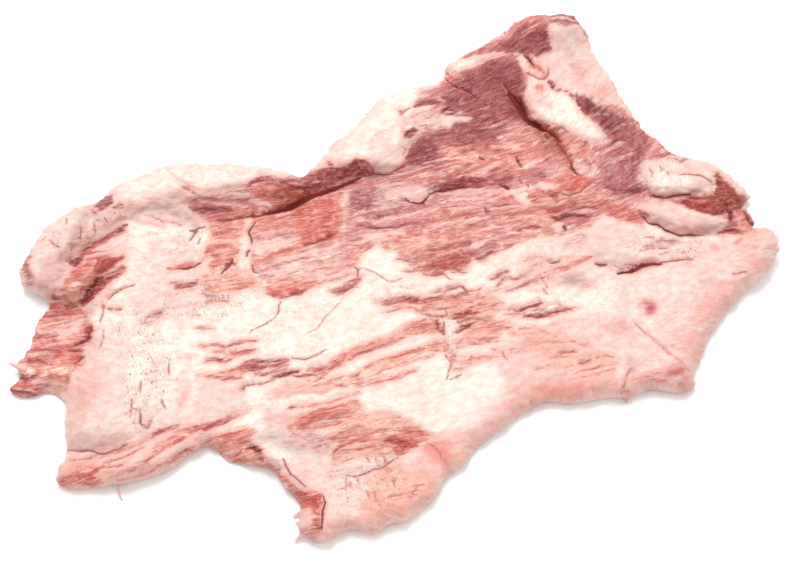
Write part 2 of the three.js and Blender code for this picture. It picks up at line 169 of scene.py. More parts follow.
# Where each effect of the finish starts to show and where it is full, on what it depends on.
STEPS = {
    "fat": (-0.8, 0.8),
    "lively lean": (0.08, 0.26),
    "dark streaks": (0.49, 0.39),
    "pale streaks": (0.5, 0.6),
    "hairs": (0.55, 0.66),
    "warm crumbs": (0.5, 0.62),
    "dark mottles": (0.48, 0.38),
    "pale mottles": (0.52, 0.62),
    "blush": (0.45, 0.64),
    "flushed mottles": (0.5, 0.6),
    "bloom": (0.48, 0.38),
    "flushed crumbs": (0.48, 0.38),
    "veins": (0.52, 0.62),
    "thin film": (2.8, 0.2),
    "creases": (0.02, 0.004),
    "creased mottles": (0.5, 0.58),
    "creased depth": (1.6, 0.6),
    "fissures": (0.024, 0.008),
    "fissured blotches": (0.42, 0.5),
    "fissured crumbs": (0.5, 0.57),
    "specks": (0.66, 0.72),
    "steady tears": (1.0, 2.2),
    "tear lines": (1.3, 0.3),
    "tear gap": (3.4, 2.0),
    "breaks": (0.42, 0.5),
    "whole tears": (0.7, 0.9),
    "halo": (4.0, 1.0),
    "border gap": (1.7, 0.9),
    "border depth": (1.3, 2.2),
    "tear depth": (-0.2, 1.5),
    "blood depth": (0.9, 2.0),
}
SHARES = {
    "pale streaks": 0.5,
    "hairs": 0.45,
    "warm crumbs": 0.3,
    "blush": 0.6,
    "veins": 0.3,
    "thin film": 0.75,
    "creases": 0.6,
    "specks": 0.7,
    "fissures": 0.8,
    "halo": 0.5,
    "border": 0.6,
}
LEAN_FIBRES, FAT_FIBRES, CRUMB_HEIGHT, FISSURE_DROP, TEAR_DROP = 0.5, 0.15, 0.55, 0.3, 0.15
RELIEF_HEIGHT = 1.2 * MM
LEAST_ROUGHNESS, ROUGHNESS_SPREAD = 0.24, 0.3

# The lamps: where each is and how wide, in metres, and its power in watts.
LAMPS = {
    "key": ((-0.14, 0.42, 1.42), 0.7, 17.4),
    "fill": ((0.5, -0.5, 1.5), 1.0, 2.3),
}
SKY_STRENGTH = 0.86
FLOOR_SIZE = 6.0

# The meat's colours, and painted shade in its hollows and folds, laid on list by list as PAINT
# has them. Each mark is a colour, the width of a streak in mm or 0 for a ring that is filled,
# and its x and y in turn. A fat colour lays fat, a lean colour lays lean, and a soft one only
# tints what is there.
ROLLED_EDGE = [
    ("soft pale pink", 0, [-162,4, -150,26, -128,42, -118,34, -112,24, -124,14, -134,4, -146,-6]),
    ("soft cream", 0, [-112,42, -98,55, -80,57, -62,56, -60,48, -76,42, -95,44]),
    ("soft pink fat", 0, [-110,38, -96,37, -84,39, -84,43, -98,43, -110,42]),
    ("soft pink fat", 0, [-152,-4, -146,4, -138,4, -136,-4, -142,-10, -149,-8]),
    ("soft pink fat", 5, [-152,16, -146,20, -138,24]),
    # painted shade on the roll's end
    ("soft dusky fat and shade", 4.5, [-147,4, -139,7.5]),
    ("soft dusky fat and shade", 3, [-149,-2, -144,-6]),
    ("rose", 0, [-153.8,13, -151.8,10.5, -153.2,9, -152.6,5, -150.4,1, -150.6,-3.4, -153.4,-3.4, -155,1,
        -155.6,6, -155.2,10]),
    ("red", 1.2, [-154.6,9, -154,4, -152.6,-0.5]),
    ("brick", 1.4, [-143,-9, -140,-8.2, -137.4,-9.2]),
    # painted shade where the roll turns under, partly the greyish film of thin fat
    ("soft grey fat and shade", 0, [-130,44, -118,43, -113,37, -115,30, -124,27, -132,32]),
    ("soft dusky fat and shade", 3, [-129,42.5, -123,42, -118.5,42]),
    ("soft dusky fat and shade", 4, [-121,33, -115,35]),
    ("maroon", 0, [-127.5,34.6, -124.4,38.6, -121,39.6, -120.4,38, -122.5,35.2, -126,33.4]),
    ("maroon", 1.1, [-119.6,34.6, -115.6,36.4]),
    ("rose", 0.9, [-129.4,33.6, -127,31.4]),
    # painted shade in the trough under the roll
    ("soft dusky fat and shade", 4, [-112,33.5, -104,33, -97,31]),
    ("soft dusky fat and shade", 3, [-96,31, -88,32.5]),
    ("thin fat", 0.9, [-117,31.4, -111,31.6, -105,30.4]),
    ("rose", 0.9, [-104,30, -100.4,29, -98.6,27.6, -95,27.7, -91,26.4]),
    ("maroon", 1.3, [-91,45, -86,43]),
    ("soft rosy fat", 1.6, [-101,57, -95,50, -85,44.5, -75,42]),
    ("soft rosy fat", 2.4, [-111,28, -104,27, -97,24]),
    # the pocket in front of the roll
    ("soft pink fat", 0, [-131,9, -126,14, -116,20, -112,22, -112,12, -122,11]),
    ("rose", 0, [-137,7.4, -134.6,5.8, -131.8,8.6, -129.8,11.4, -126,14, -121,17.6, -117.5,20.6,
        -114.4,22.6, -115,24.6, -116.6,25.6, -118.8,24, -121.6,21.6, -127.2,18.8, -130.8,16, -132.6,13,
        -133.4,10.6, -136,9]),
    ("maroon", 0, [-137,7.4, -134.6,5.8, -132,8.4, -132.4,11, -134,10.2, -136,9]),
    ("brick", 1.1, [-132,12.4, -129,16, -122,20.2, -117,24.6]),
    ("brick", 2, [-118,22.6, -115.2,24]),
    ("coral", 0.9, [-129.6,11.2, -124,12.6, -119.4,13.4]),
    ("salmon", 0, [-139.6,-6.4, -138.4,-2, -134.6,3.4, -131,8, -129,10.4, -122,10.4, -118,10.6,
        -114.2,10.8, -113.6,9.4, -117,7, -120,4, -123,1.6, -124.6,0, -127,-4, -130,-8, -132,-11.4,
        -134.4,-13, -137,-8.8]),
    ("soft rose", 0, [-125,12, -118,12, -112,12, -116,6, -121,2, -126,1]),
    ("red", 0, [-124.4,9.6, -118,10.4, -114.4,10.4, -114.4,9, -117.8,6.4, -121,3.4, -124.4,2, -126.4,5]),
    ("soft coral", 3, [-136,-3, -131,4, -127,8.6]),
    ("pale lean", 1, [-137,-6.6, -133,-2, -128,3]),
    ("brick", 0.9, [-125.4,6.6, -120,9.6]),
    ("brick", 0.8, [-123.4,3.6, -118,7.6]),
    ("rose", 0, [-121.6,2.4, -117.6,4.4, -114.4,7, -113.2,5, -114,1.6, -118,-2, -121,-3.4]),
    ("pink fat", 0.9, [-120.4,0.6, -116,3, -113,5.4]),
    ("brick", 0.9, [-120.6,-1.6, -117.4,0.6, -115,2.6]),
    ("brick", 0, [-124.8,1.4, -121.6,1.6, -119.8,-2.6, -122.4,-6.6, -125,-9.8, -127.6,-12.8, -131.6,-15.2,
        -134.4,-15, -131.8,-11.6, -129,-6.8, -126.8,-2.8]),
    ("blood", 2.8, [-124.4,0.6, -125,-3, -128,-8, -131.6,-13]),
    ("red", 1.2, [-121.4,-3, -124,-7.4, -127.6,-11.6]),
    ("soft rosy fat", 3, [-118,-4, -120.6,-9, -124,-14]),
    ("tan", 1.3, [-107,-3, -112,-4.2, -117,-6.2, -119.4,-9.4, -120.4,-14]),
    ("maroon", 0.8, [-119,-14.6, -117.4,-14.4]),
    ("maroon", 0.8, [-115,-14.2, -113.4,-14]),
    ("dark maroon", 0, [-143,-7.4, -139.6,-7, -137,-8.6, -139,-10.4, -142.6,-10.2]),
    ("mauve", 1.2, [-120.6,35, -118,36, -115.6,36.6]),
]
LEFT_END = [
    ("salmon", 0, [-150,-13, -140,-11, -131,-12, -126,-16, -127,-22, -124,-28, -128,-34, -127,-40,
        -131,-45, -132,-52, -143,-56, -158,-55, -162,-48, -157,-40, -154,-30, -151,-22]),
    ("soft rose", 6, [-150,-19, -142,-15.4, -130,-13]),
    ("red", 1.3, [-148,-15.4, -140,-13.6, -132,-12.6]),
    ("rose", 2.4, [-150,-18.6, -140,-16.6, -129,-15]),
    ("pink fat", 0, [-148,-23, -140,-20.4, -130,-18, -127,-19.6, -130,-25.6, -138,-27.6, -146,-26]),
    ("soft rosy fat", 2, [-146,-24.6, -134,-22]),
    ("salmon", 1.1, [-145,-24.6, -134,-22.6]),
    ("red", 0, [-127.4,-22.4, -124.8,-21.4, -123.6,-24.4, -125,-27, -127.6,-26]),
    ("rose", 2.2, [-150,-28.6, -144,-27, -138,-26.8]),
    ("red", 1.2, [-148.6,-28.2, -143,-27]),
    ("dark maroon", 2, [-131.8,-32.2, -129,-30.4, -126,-28.6, -124.6,-27]),
    ("pink fat", 1.3, [-151,-31, -142,-30.6, -134,-29.4]),
    ("rose", 3, [-151,-34.6, -142,-33.2, -131,-32.6]),
    ("red", 1.4, [-149.4,-33.8, -143,-33.4, -137,-34.6]),
    ("pale lean", 1, [-150,-36.2, -142,-35.6, -137,-36.4]),
    ("coral", 2.2, [-139.4,-37.6, -136,-35.2, -133.4,-33.2]),
    ("rose", 3.4, [-150,-38.4, -144,-38.6, -139,-40]),
    ("brick", 1.1, [-150,-37.4, -145,-38.4, -140.4,-40.8]),
    ("brick", 1.8, [-133.6,-34.6, -127.6,-34]),
    ("coral", 3.6, [-133,-38, -128,-37]),
    ("brick", 1, [-131,-39.6, -127,-36.6]),
    ("peach", 0, [-144,-41, -136,-39.6, -130,-40.6, -131,-44.6, -143,-45.2]),
    ("pale lean", 1.4, [-143,-43.4, -137,-42.4, -131,-43]),
    ("rose", 1.4, [-144,-46, -136,-45.4, -132,-46.4]),
    ("ivory", 0, [-157,-39, -151,-39.4, -148,-41.4, -145.6,-43.6, -149,-45, -152,-44.8, -157,-42.4]),
    ("rose", 0, [-157,-46, -152.6,-44.6, -144.4,-44.8, -142,-47, -142,-56, -160,-56]),
    ("blood", 0, [-152.8,-44.8, -149.5,-45.8, -146.6,-45.4, -144.6,-44.6, -146.6,-46.8, -150,-47.2,
        -153.4,-46.4]),
    ("soft dusky fat and shade", 0, [-146,-47, -138,-46.6, -133,-48, -134,-51.6, -143,-51]),
    ("dusky fat and shade", 0, [-147,-48, -139,-47.6, -133.6,-49, -134,-51.2, -143,-50.6]),
    ("mauve", 0.9, [-144,-49.4, -139,-49.4, -134,-50.2]),
    ("coral", 3, [-157,-49.4, -150,-49.6, -145,-52]),
    ("brick", 1.3, [-157,-52.6, -150,-52.6, -144,-54]),
    ("pale lean", 1, [-155,-51, -149,-51.4, -144,-52.6]),
    # painted shade on the roll's end and in the trough under the roll
    ("soft grey fat and shade", 0, [-152,4, -146,11, -136,9, -136,0, -144,-6, -151,-4]),
    ("soft dusky fat and shade", 0, [-148,6, -143,9, -138,6, -140,1, -146,1]),
    ("soft dusky fat and shade", 0, [-134,33, -126,37, -117,35, -119,30, -127,27.4, -133,29]),
    ("soft dusky fat and shade", 0, [-118,38, -106,36, -92,34.4, -84,33, -82,27, -90,27, -98,30, -108,31.6, -118,32]),
    ("soft dusky fat and shade", 0, [-136,27, -132,28, -131,18, -134,13, -138,18]),
    ("soft dusky fat and shade", 0, [-148,8, -142,9, -138,5, -140,0, -147,0]),
    ("pink fat", 0, [-136.4,-4.6, -132,-4.6, -130.6,-8, -133,-11, -136.6,-9]),
    ("soft salmon", 0, [-143,-5, -136,-3, -131,-5, -132,-12, -138,-12]),
    ("soft ivory", 0, [-108,-30, -92,-24, -86,-40, -88,-56, -96,-67, -105,-64, -109,-46]),
    ("soft coral", 0, [-134,-86, -122,-83, -110,-87, -112,-92, -124,-94, -134,-93]),
    # painted light: lightens the shaded wall at the outer edge
    ("soft pink fat", 0, [-108,-90, -98,-87, -90,-82, -92,-88, -104,-95]),
    ("rose", 1.4, [-121.4,-11, -120.6,-14]),
    ("brick", 0.9, [-119,-14.7, -116.6,-14.5]),
    ("brick", 0.9, [-115.4,-14.4, -113,-14]),
    # painted shade on the roll's end
    ("soft dusky fat and shade", 0, [-148,2, -144,8, -138,9, -139,2, -144,0]),
    ("maroon", 0, [-137,8, -133,11, -131,9, -133,5.6, -136,6]),
    ("maroon", 0, [-128.6,35.4, -125.4,39.8, -121,40.6, -121,37, -125,34]),
    ("mauve", 1.1, [-119.6,34.8, -117,35.4, -115.4,36.4]),
]
LEFT_DOME = [
    ("soft pale pink", 0, [-132,-52, -126,-30, -121,-20, -110,-22, -108,-40, -106,-58, -100,-72, -112,-80,
        -133,-82]),
    ("soft pink fat", 0, [-131,-40, -118,-38, -112,-50, -118,-66, -131,-66]),
    ("soft rosy fat", 0, [-130,-42, -122,-42, -119,-50, -124,-60, -131,-58]),
    # painted shade in the dip below the dome
    ("soft dusky fat and shade", 0, [-132,-71, -120,-73, -112,-78, -118,-80, -132,-80]),
    ("soft pale pink", 0, [-104,18, -90,22, -80,10, -80,-10, -84,-24, -100,-26, -114,-14, -110,4]),
    ("soft pale pink", 0, [-100,12, -84,14, -78,2, -82,-14, -90,-30, -82,-46, -84,-64, -98,-70, -112,-60,
        -112,-30, -104,-12]),
    ("soft rosy fat", 5, [-86,-48, -86,-60]),
    ("dusky fat and shade", 2.2, [-92.4,-4.8, -88.6,-2.4, -84,-2.4]),
    ("maroon", 0.9, [-90.4,-5.4, -87,-3, -84,-2.8]),
    ("soft rosy fat", 3, [-98,-8, -90,-6, -82,-3]),
    ("rosy fat", 0.9, [-92,-14, -85,-13.4, -80,-11]),
    ("soft pink fat", 0, [-136,-80, -120,-80, -104,-74, -88,-66, -78,-64, -70,-72, -84,-84, -100,-94,
        -136,-98]),
    ("soft peach", 0, [-137,-88, -128,-85.5, -118,-84.6, -112,-90, -98,-90, -84,-82, -72,-76, -78,-86,
        -100,-97, -138,-98]),
    ("soft salmon", 2.6, [-130,-83.6, -120,-81.6, -110,-78.6, -100,-74, -92,-70.6]),
    ("rose", 1.1, [-129,-83.4, -121,-82, -112,-79.4]),
    ("rose", 0.9, [-112,-80.6, -104,-76.8, -98,-74]),
    # painted shade along the crease below the dome
    ("soft dusky fat and shade", 1.4, [-130,-81.6, -118,-81, -110,-77.6]),
    ("coral", 0, [-134,-91.4, -129,-87.6, -122,-85.6, -118,-85.4, -117,-87.6, -119,-89.6, -114.6,-91.6,
        -118,-93, -125,-94, -133,-94]),
    ("soft rose", 5, [-130,-90, -122,-88.4, -117,-89]),
    ("pink fat", 1.1, [-131,-89.4, -125,-87.6, -119,-87.4]),
    ("thin fat", 1.2, [-132,-92.4, -126,-91.4, -120,-92]),
    ("rose", 1.2, [-118,-86.2, -110,-85.4, -105,-84.6]),
    ("rose", 1, [-116,-84, -108,-81.8, -100,-78]),
    ("salmon", 1.8, [-110,-89, -102,-86, -95,-81]),
    ("red", 2, [-98,-73.4, -94,-71, -90,-69.4, -86,-68]),
    ("rose", 1.2, [-108,-87.4, -98,-82.4, -91,-76.6]),
    ("salmon", 2.4, [-94,-78.6, -86,-73.6, -80,-70]),
    ("coral", 1.4, [-90,-76.4, -84,-72.6, -78,-70]),
    ("salmon", 2.2, [-98,-87.6, -88,-82.6, -80,-76.6]),
    ("coral", 1.3, [-92,-84, -86,-80.6, -80,-78]),
    ("rose", 0.9, [-110,-91, -102,-90, -96,-87]),
    ("maroon", 0, [-105,-21.6, -101.4,-18, -96.6,-14.8, -96.4,-17.6, -99.4,-20.4, -102,-21.4]),
    ("red", 1.4, [-96,4.7, -90,4.5, -84,5.2]),
    ("rose", 1.2, [-94,-2, -88,-3.5, -84,-5]),
    ("mauve", 0.9, [-85,-2.6, -82,-3.2]),
]
UPPER_LEAN = [
    ("pink lean", 0, [-89,36, -84,30, -78,26, -70,24, -64,28, -61,31, -61,22, -60,10, -60,1, -52,-2,
        -44,-1, -36,1, -28,3, -22,3, -19,5, -17,10, -7,17, -4,13.5, 1,13, 1,9, 5,7.5, 12,7.5, 12.5,5.5,
        9,4.5, 10,3, 15,1, 19,1, 21,3, 28,3, 31,6, 33,8, 36,7, 40,9.5, 45,13, 50,15.5, 56,18, 62,20,
        70,20, 76,22, 84,28, 88,30, 97,27, 104,25, 107,29, 102,35, 110,38, 120,35, 124,33, 134,30, 141,28,
        141,21, 136,19.5, 144,20, 151,23, 148,32, 149,39, 145,43, 141,48, 137,52, 136,46, 136,41, 122,40,
        109,40, 108,46, 105,50, 107,57, 118,59, 124,57.5, 126,61, 116,68, 108,77, 100,84, 86,93, 79,91,
        81,84, 88,76, 92,70, 84,67, 78,70, 72,76, 62,79, 58,86, 57,95, 59,103, 62,110, 52,116, 42,112,
        30,106, 24,104, 20,97, 12,95, 8,87, 18,87, 15,84, 4,80, 3,73, 8,76, 12,73, 6,67, 4,58, -2,53,
        -9,52, -10,57, -16,60, -20,55, -28,55, -34,53, -40,50, -50,50, -58,50, -66,45, -74,41, -86,41]),
    ("soft salmon", 0, [-62,47, -50,46, -42,43, -50,37, -60,37]),
    ("soft coral", 0, [-60,43, -50,44, -44,41.6, -50,38, -60,39.6]),
    ("soft maroon", 0, [-50,51, -38,52, -30,56, -18,57, -20,50, -30,45, -38,42, -48,44]),
    ("soft mauve", 0, [-80,44, -70,46, -60,50, -52,50, -50,46, -60,45, -70,41]),
    ("soft rose", 0, [-86,37, -76,37, -62,36, -56,34, -62,30, -70,26, -78,27, -84,30]),
    ("soft salmon", 0, [-60,31, -40,36, -24,42, -22,30, -24,20, -40,14, -60,20]),
    ("soft coral", 0, [-46,33, -32,40, -25,40, -24,28, -30,24, -40,26]),
    ("soft pale lean", 0, [-60,22, -48,25, -38,22, -42,17, -60,14]),
    ("soft pink fat", 0, [-60,17, -44,18, -24,16, -22,4, -36,0, -60,0]),
    ("soft peach", 0, [-60,9, -50,12, -38,15, -36,12, -48,8, -60,5]),
    ("soft peach", 0, [-78,22, -64,24, -62,2, -78,2]),
    ("soft mauve", 0, [-20,44, 4,52, 20,60, 40,58, 50,48, 30,42, 10,36, -10,28, -20,34]),
    ("soft maroon", 0, [4,56, 5,64, 12,72, 22,86, 22,98, 34,104, 54,112, 57,100, 56,86, 60,76, 72,64,
        60,58, 40,60, 22,56]),
    ("soft dark maroon", 0, [4,57, 8,66, 16,68, 20,62, 12,56]),
    ("soft dark maroon", 0, [30,104, 52,113, 57,104, 54,96, 47,101, 40,98, 32,98]),
    ("soft peach", 0, [-6,16, 8,20, 20,20, 20,14, 6,12, -4,14]),
    ("soft salmon", 0, [20,66, 40,66, 60,70, 68,62, 56,54, 20,54]),
    ("soft salmon", 0, [40,42, 60,44, 70,52, 86,54, 86,44, 70,38, 50,34]),
    ("soft maroon", 0, [86,84, 102,80, 112,70, 108,58, 106,44, 96,38, 88,44, 90,56, 96,66, 88,76]),
    ("soft rose", 0, [64,30, 84,40, 100,36, 100,30, 86,30, 72,22]),
    ("soft coral", 0, [88,34, 96,36, 104,30, 102,26, 92,29]),
    # the roll's inner face
    ("rosy fat", 0, [-60.4,49, -58.4,56.6, -57,51.6, -54.6,49.6]),
    ("cream", 0, [-57,56, -47,52.4, -49,50, -51,48.4, -56,51]),
    ("pale pink", 1.2, [-50.4,46.6, -49.4,50.6, -44,50.6, -39,51]),
    ("maroon", 1.6, [-50,48.8, -58,50, -64,46, -70,43.4]),
    ("soft dusky fat and shade", 3, [-76,43.6, -70,44.4, -64,46]),
    ("red", 1.6, [-48,46, -42,44.4, -36,42.6]),
    ("brick", 2.2, [-44,48, -36,47.6, -28,50]),
    ("maroon", 2, [-38,50, -30,53.4, -22,54.4]),
    ("rosy fat", 0.9, [-46,47, -38,46, -30,48]),
    ("soft maroon", 2, [-86,34, -80,35, -72,33]),
    ("maroon", 0, [-88,34, -84,36, -78,35.4, -72,34.6, -68,33, -70,31.4, -78,31, -84,31.8]),
    ("dark maroon", 2, [-84,33.6, -79,33.8, -75,33]),
    ("mauve", 3, [-76,27, -70,26.6, -66,27]),
    ("soft grey fat and shade", 0, [-90,34, -84,31, -80,26, -84,22, -92,28]),
    ("dusky fat and shade", 1.8, [-90,29.6, -85,29, -81,27]),
    ("pale pink", 0, [-82,41, -74,39.6, -64,39.4, -60,41, -64,43, -74,42]),
    ("cream", 0, [-62,40, -57,38.5, -52.5,36, -54,34.8, -60,36.4, -62,37.4]),
    ("pale pink", 1.8, [-62,34.4, -74,36.6, -84,38.6]),
    ("pink fat", 1.2, [-61,33, -66,31.6, -72,30.8]),
    ("pink fat", 1.5, [-57.5,41.6, -52,42.4]),
    ("pink fat", 1.1, [-57,44.4, -52,45]),
    ("coral", 2.6, [-56,40, -48,41, -42,41.6]),
    ("peach", 1, [-54,42.4, -46,43.4, -38,42.4]),
    # above the furrow, and the patch of lean beyond it
    ("red", 0, [-54,34.6, -48,37.6, -42,40, -37,42.4, -30,45, -30,42.6, -38,39, -46,35, -54,32.4]),
    ("blood", 1.6, [-57,32, -50,34, -44,36.4, -38,39.6]),
    ("soft brick", 3, [-50,48.6, -44,47.6, -38,48]),
    ("rose", 0, [-20.6,56, -17,60, -13.6,58.6, -10,55, -8.4,51.6, -13,50.4, -20,51]),
    ("brick", 1.6, [-19,52.6, -14.6,52, -10.4,51.6]),
    ("maroon", 1.2, [-17.6,58, -15.6,55, -14.4,53]),
    ("salmon", 1.1, [-13.6,57, -12,54.4, -11,52.6]),
    ("mauve", 1.6, [-46,49.6, -36,49.6, -28,52]),
    # streaks of fat and darker lean in its left half
    ("cream", 4, [-63.5,31, -64,22, -64,12, -63,1]),
    ("soft peach", 8, [-68,28, -67,18]),
    ("salmon", 0, [-79,15, -74,18, -68,16, -66,12, -70,8, -74,5, -78,6, -77,10]),
    ("pale pink", 2, [-76,12.4, -72,13.6, -68,12.6]),
    ("cream", 1.6, [-78,8.6, -74,9.4]),
    ("coral", 1.8, [-76,11, -72,10, -69,8.4]),
    ("coral", 1.4, [-75,16.6, -70,15]),
    ("peach", 3, [-76,23, -70,22, -65,24]),
    ("rosy fat", 2, [-77,18.6, -71,19.6, -66,18.6]),
    ("pale pink", 3, [-60,15.5, -50,16, -38,19]),
    ("pink fat", 2.6, [-58,19.6, -50,21.4, -42,23]),
    ("mauve", 0.9, [-59,19, -50,20, -44,21, -34,23]),
    ("mauve", 0.9, [-53,23, -46,22.4, -42,23]),
    ("salmon", 2.6, [-60,6, -55,9, -48,12.6, -38,14]),
    ("coral", 1.2, [-60,7.4, -54,10, -48,12.8, -40,14.6]),
    ("pale pink", 1.3, [-60,12.5, -52,14.3, -44,16]),
    ("rose", 0.9, [-58,3.6, -50,6.6, -42,8.6, -33,9.6]),
    ("pale pink", 2.2, [-57,1.4, -46,3.6, -36,5, -26,6]),
    ("pink fat", 1.6, [-50,8.6, -42,10, -34,11, -26,12]),
    ("pale pink", 2.4, [-38,12, -32,12.4, -26,14.6]),
    ("salmon", 1.1, [-40,6.4, -32,7.6, -24,9.6]),
    ("salmon", 1.1, [-36,2.6, -29,4.4, -22,6]),
    ("soft pale pink", 3, [-21.5,43, -22.5,36, -22,30, -23,24, -22,17]),
    ("pink fat", 1.1, [-22,41, -21.6,36]),
    ("cream", 1.3, [-22.4,27, -21,23.6]),
    ("coral", 0, [-40,15.4, -34,16.6, -29,19.4, -24.6,23, -26.5,25, -31,23, -36,21, -40,18]),
    ("pale lean", 1.2, [-58,25, -50,27, -42,29, -34,32]),
    ("pale lean", 1, [-56,29, -48,31.5, -38,35, -30,38]),
    ("red", 1.3, [-57,27.5, -48,29.5, -38,32.5, -28,36]),
    ("red", 1.2, [-50,33, -40,36, -32,39.5]),
    ("brick", 1, [-42,31.2, -34,34, -27,37]),
    ("peach", 2, [-50,25, -40,26.5, -30,29]),
    ("cream", 1.3, [-20,16, -12,17, -6,19, 2,22]),
    ("pale pink", 0, [-16,20, -6,22, 4,23, 4,20, -4,18, -12,17.5]),
    ("peach", 3, [-20,4, -18,7, -15,12]),
    # its middle
    ("mauve", 0, [-20,40, -12,41.5, -7,40, -8,36, -12,34, -19,35]),
    ("soft grey fat and shade", 0, [-8,45, 2,46, 14,46, 18,42, 12,37, 4,38, -4,35, -9,37]),
    ("grey fat and shade", 0, [-6,41, 0,43, 5,44.6, 10,45.6, 14,43.6, 13,39, 10,37.6, 6,38.4, 2,41, -3,39]),
    ("pale pink", 2, [-12,44.6, -2,45.6, 8,47.4]),
    ("rosy fat", 1.1, [-4,41.6, 4,43.4]),
    ("cream", 1.4, [8,41.6, 12,42.6]),
    ("mauve", 0.9, [-20,31, -12,29, -3,31, 5,34, 10,35, 20,36]),
    ("maroon", 1.3, [-16,26, -8,24.2, -3,24.3, 5,26, 12,27]),
    ("pale pink", 1.5, [-19,33, -10,32, -2,34, 6,37]),
    ("pale pink", 1.8, [-18,28.5, -8,27, 0,28.8, 8,31.5, 18,33.5]),
    ("cream", 1.2, [-10,33.4, -4,35, 2,36]),
    ("rose", 2, [3,27, 8,26.3, 15,28, 25,30, 36,32.5]),
    ("pale pink", 1.5, [8,23.4, 20,25.8, 30,27.2, 40,29.2]),
    ("cream", 1.5, [25,21.2, 35,23, 45,24.6, 53,25.8]),
    ("pale pink", 1.2, [12,22, 22,23.5, 30,25]),
    ("rose", 1.6, [0,22.5, 10,21.2, 20,22.5, 32,24.8, 44,27]),
    ("salmon", 2.4, [-4,19.5, 6,20, 16,20, 30,20.8, 42,22]),
    ("cream", 1, [2,18.7, 10,18.8, 18,21.5]),
    ("pink fat", 0, [11,20, 13.3,19.5, 13.6,16.5, 12,14.5, 10.4,16.3]),
    ("cream", 1.5, [21,11.6, 24,12.4, 28,11]),
    ("pink fat", 0, [31,16, 33,18.3, 41,18.3, 38,16.4, 34,14, 31.4,13.7]),
    ("soft brick", 0, [10,9, 20,12, 31,13, 33,9, 28,6, 20,3, 16,1.5, 12,4]),
    ("dark maroon", 1.4, [12,2.6, 16,1.5, 19,1.6, 20.5,3]),
    ("mauve", 3, [31,11, 38,14.5, 44,17]),
    ("maroon", 1.3, [21,13.4, 26,13.7, 30,12.3]),
    ("maroon", 1.6, [33,9, 37,10, 41,12]),
    ("brick", 1.3, [12,12.5, 20,14.5, 30,17.2, 42,20]),
    ("pale pink", 2.2, [-1,8.8, 5,6.3, 12,6.7]),
    ("mauve", 0.8, [0,8.6, 5,7.2, 10,6.5]),
    ("peach", 2, [42,16.5, 50,18.3, 58,20.5, 68,21.5]),
    ("pale lean", 1.2, [36,19.4, 46,21.2, 56,22.4, 62,23]),
    ("red", 2.4, [51,22.5, 57,24.4, 62,25]),
    ("peach", 2.5, [60,26.5, 66,25.5, 70,24]),
    ("pink fat", 1.4, [46,28, 56,29.5, 64,29]),
    ("rose", 1.6, [40,30.5, 50,31.5, 60,32]),
    ("cream", 2, [20,38.2, 30,38.7, 42,38.4]),
    ("pale pink", 1.6, [20,33.3, 28,33.8, 36,34.8]),
    ("pale pink", 1.2, [40,33.3, 50,34.4, 60,35]),
    ("pale pink", 1.1, [26,36.2, 36,36.8, 46,37.5]),
    ("maroon", 1.6, [37.3,34.5, 38.5,31.8, 40,32.6]),
    ("maroon", 1, [40,34.8, 45,35.6, 49,36]),
    ("cream", 0, [50,41, 55,42, 59,38, 56,36, 52,37]),
    ("red", 1.3, [45,38.4, 51,39.6]),
    ("maroon", 1.5, [56,38.6, 60,39.5]),
    ("red", 1, [57.5,37.2, 62,36.2]),
    # the dark furrow and what lies above it
    ("maroon", 3.2, [18,43.5, 26,45.2, 34,45.6, 43,46.4]),
    ("brick", 2, [22,47.5, 30,48.3, 40,48]),
    ("dusky fat and shade", 2.6, [18,41, 27,42, 36,41.8, 45,42]),
    ("dusky fat and shade", 1.5, [19,42.2, 24,41.4, 28,41.8]),
    ("blood", 0, [44.3,46.2, 46.5,46.2, 48.6,45.2, 48.2,42.8, 46.5,43.6, 45,44.6]),
    ("maroon", 2.6, [42,47.5, 46,49.3, 51,49.5]),
    ("cream", 0, [45,43.8, 46.5,43, 52,43.5, 58,46, 60,43, 52,41, 46,41]),
    ("pale pink", 1.2, [21,53, 26,55, 30,54.3]),
    ("pale pink", 1.5, [24,56.5, 30,58.3, 36,57]),
    ("pink fat", 2.4, [33,50.5, 38,52.5, 42,56, 46,57]),
    ("maroon", 1.2, [40,50, 42,51, 43.5,54]),
    ("red", 1.2, [22,51, 30,51, 36,50.5]),
    ("pale pink", 1.2, [22,49.8, 30,50, 38,49.6]),
    ("salmon", 4, [22,61, 32,62, 42,61]),
    ("pale lean", 1.3, [20,58.5, 30,60.5, 44,59.5]),
    ("dark maroon", 1.3, [36,60, 38.8,57.8]),
    ("dark maroon", 1.4, [51.6,60.5, 53,57, 54,55]),
    ("maroon", 1.4, [52.7,49.5, 54.2,45.8]),
    ("mauve", 4, [58,50.5, 65,51]),
    ("pale pink", 0, [60,44, 62,47, 68,46, 69,43, 64,42]),
    ("pale lean", 0, [54,52, 56,58, 62,59, 61,54]),
    ("pale pink", 1.2, [46,52.5, 54,54.5, 60,55]),
    # its tall middle
    ("soft maroon", 0, [26,92, 36,90, 50,92, 54,84, 50,76, 40,70, 28,78, 22,86]),
    ("soft rose", 0, [24,74, 40,72, 56,76, 60,70, 50,62, 30,62, 22,68]),
    ("pale pink", 0, [19,82.5, 24,82, 30,80.6, 35,80, 31,78.4, 26,78, 24,75, 20,76]),
    ("grey fat and shade", 1.4, [20,84.4, 27,83.4, 34,81.4]),
    ("rosy fat", 1.2, [38,75, 46,77.4, 52,81]),
    ("rosy fat", 0, [48,64.4, 51,67, 55,66.6, 54,63.6]),
    ("pale lean", 1.6, [44,70.4, 50,71.6, 56,74.6]),
    ("peach", 2, [40,66, 46,66, 54,69]),
    ("rosy fat", 1.3, [26,88, 32,90]),
    ("rosy fat", 1.1, [36,84.4, 42,86.4]),
    ("dark maroon", 2.2, [20,84, 25,87]),
    ("dark maroon", 2, [20,92, 28,90, 34,91.6]),
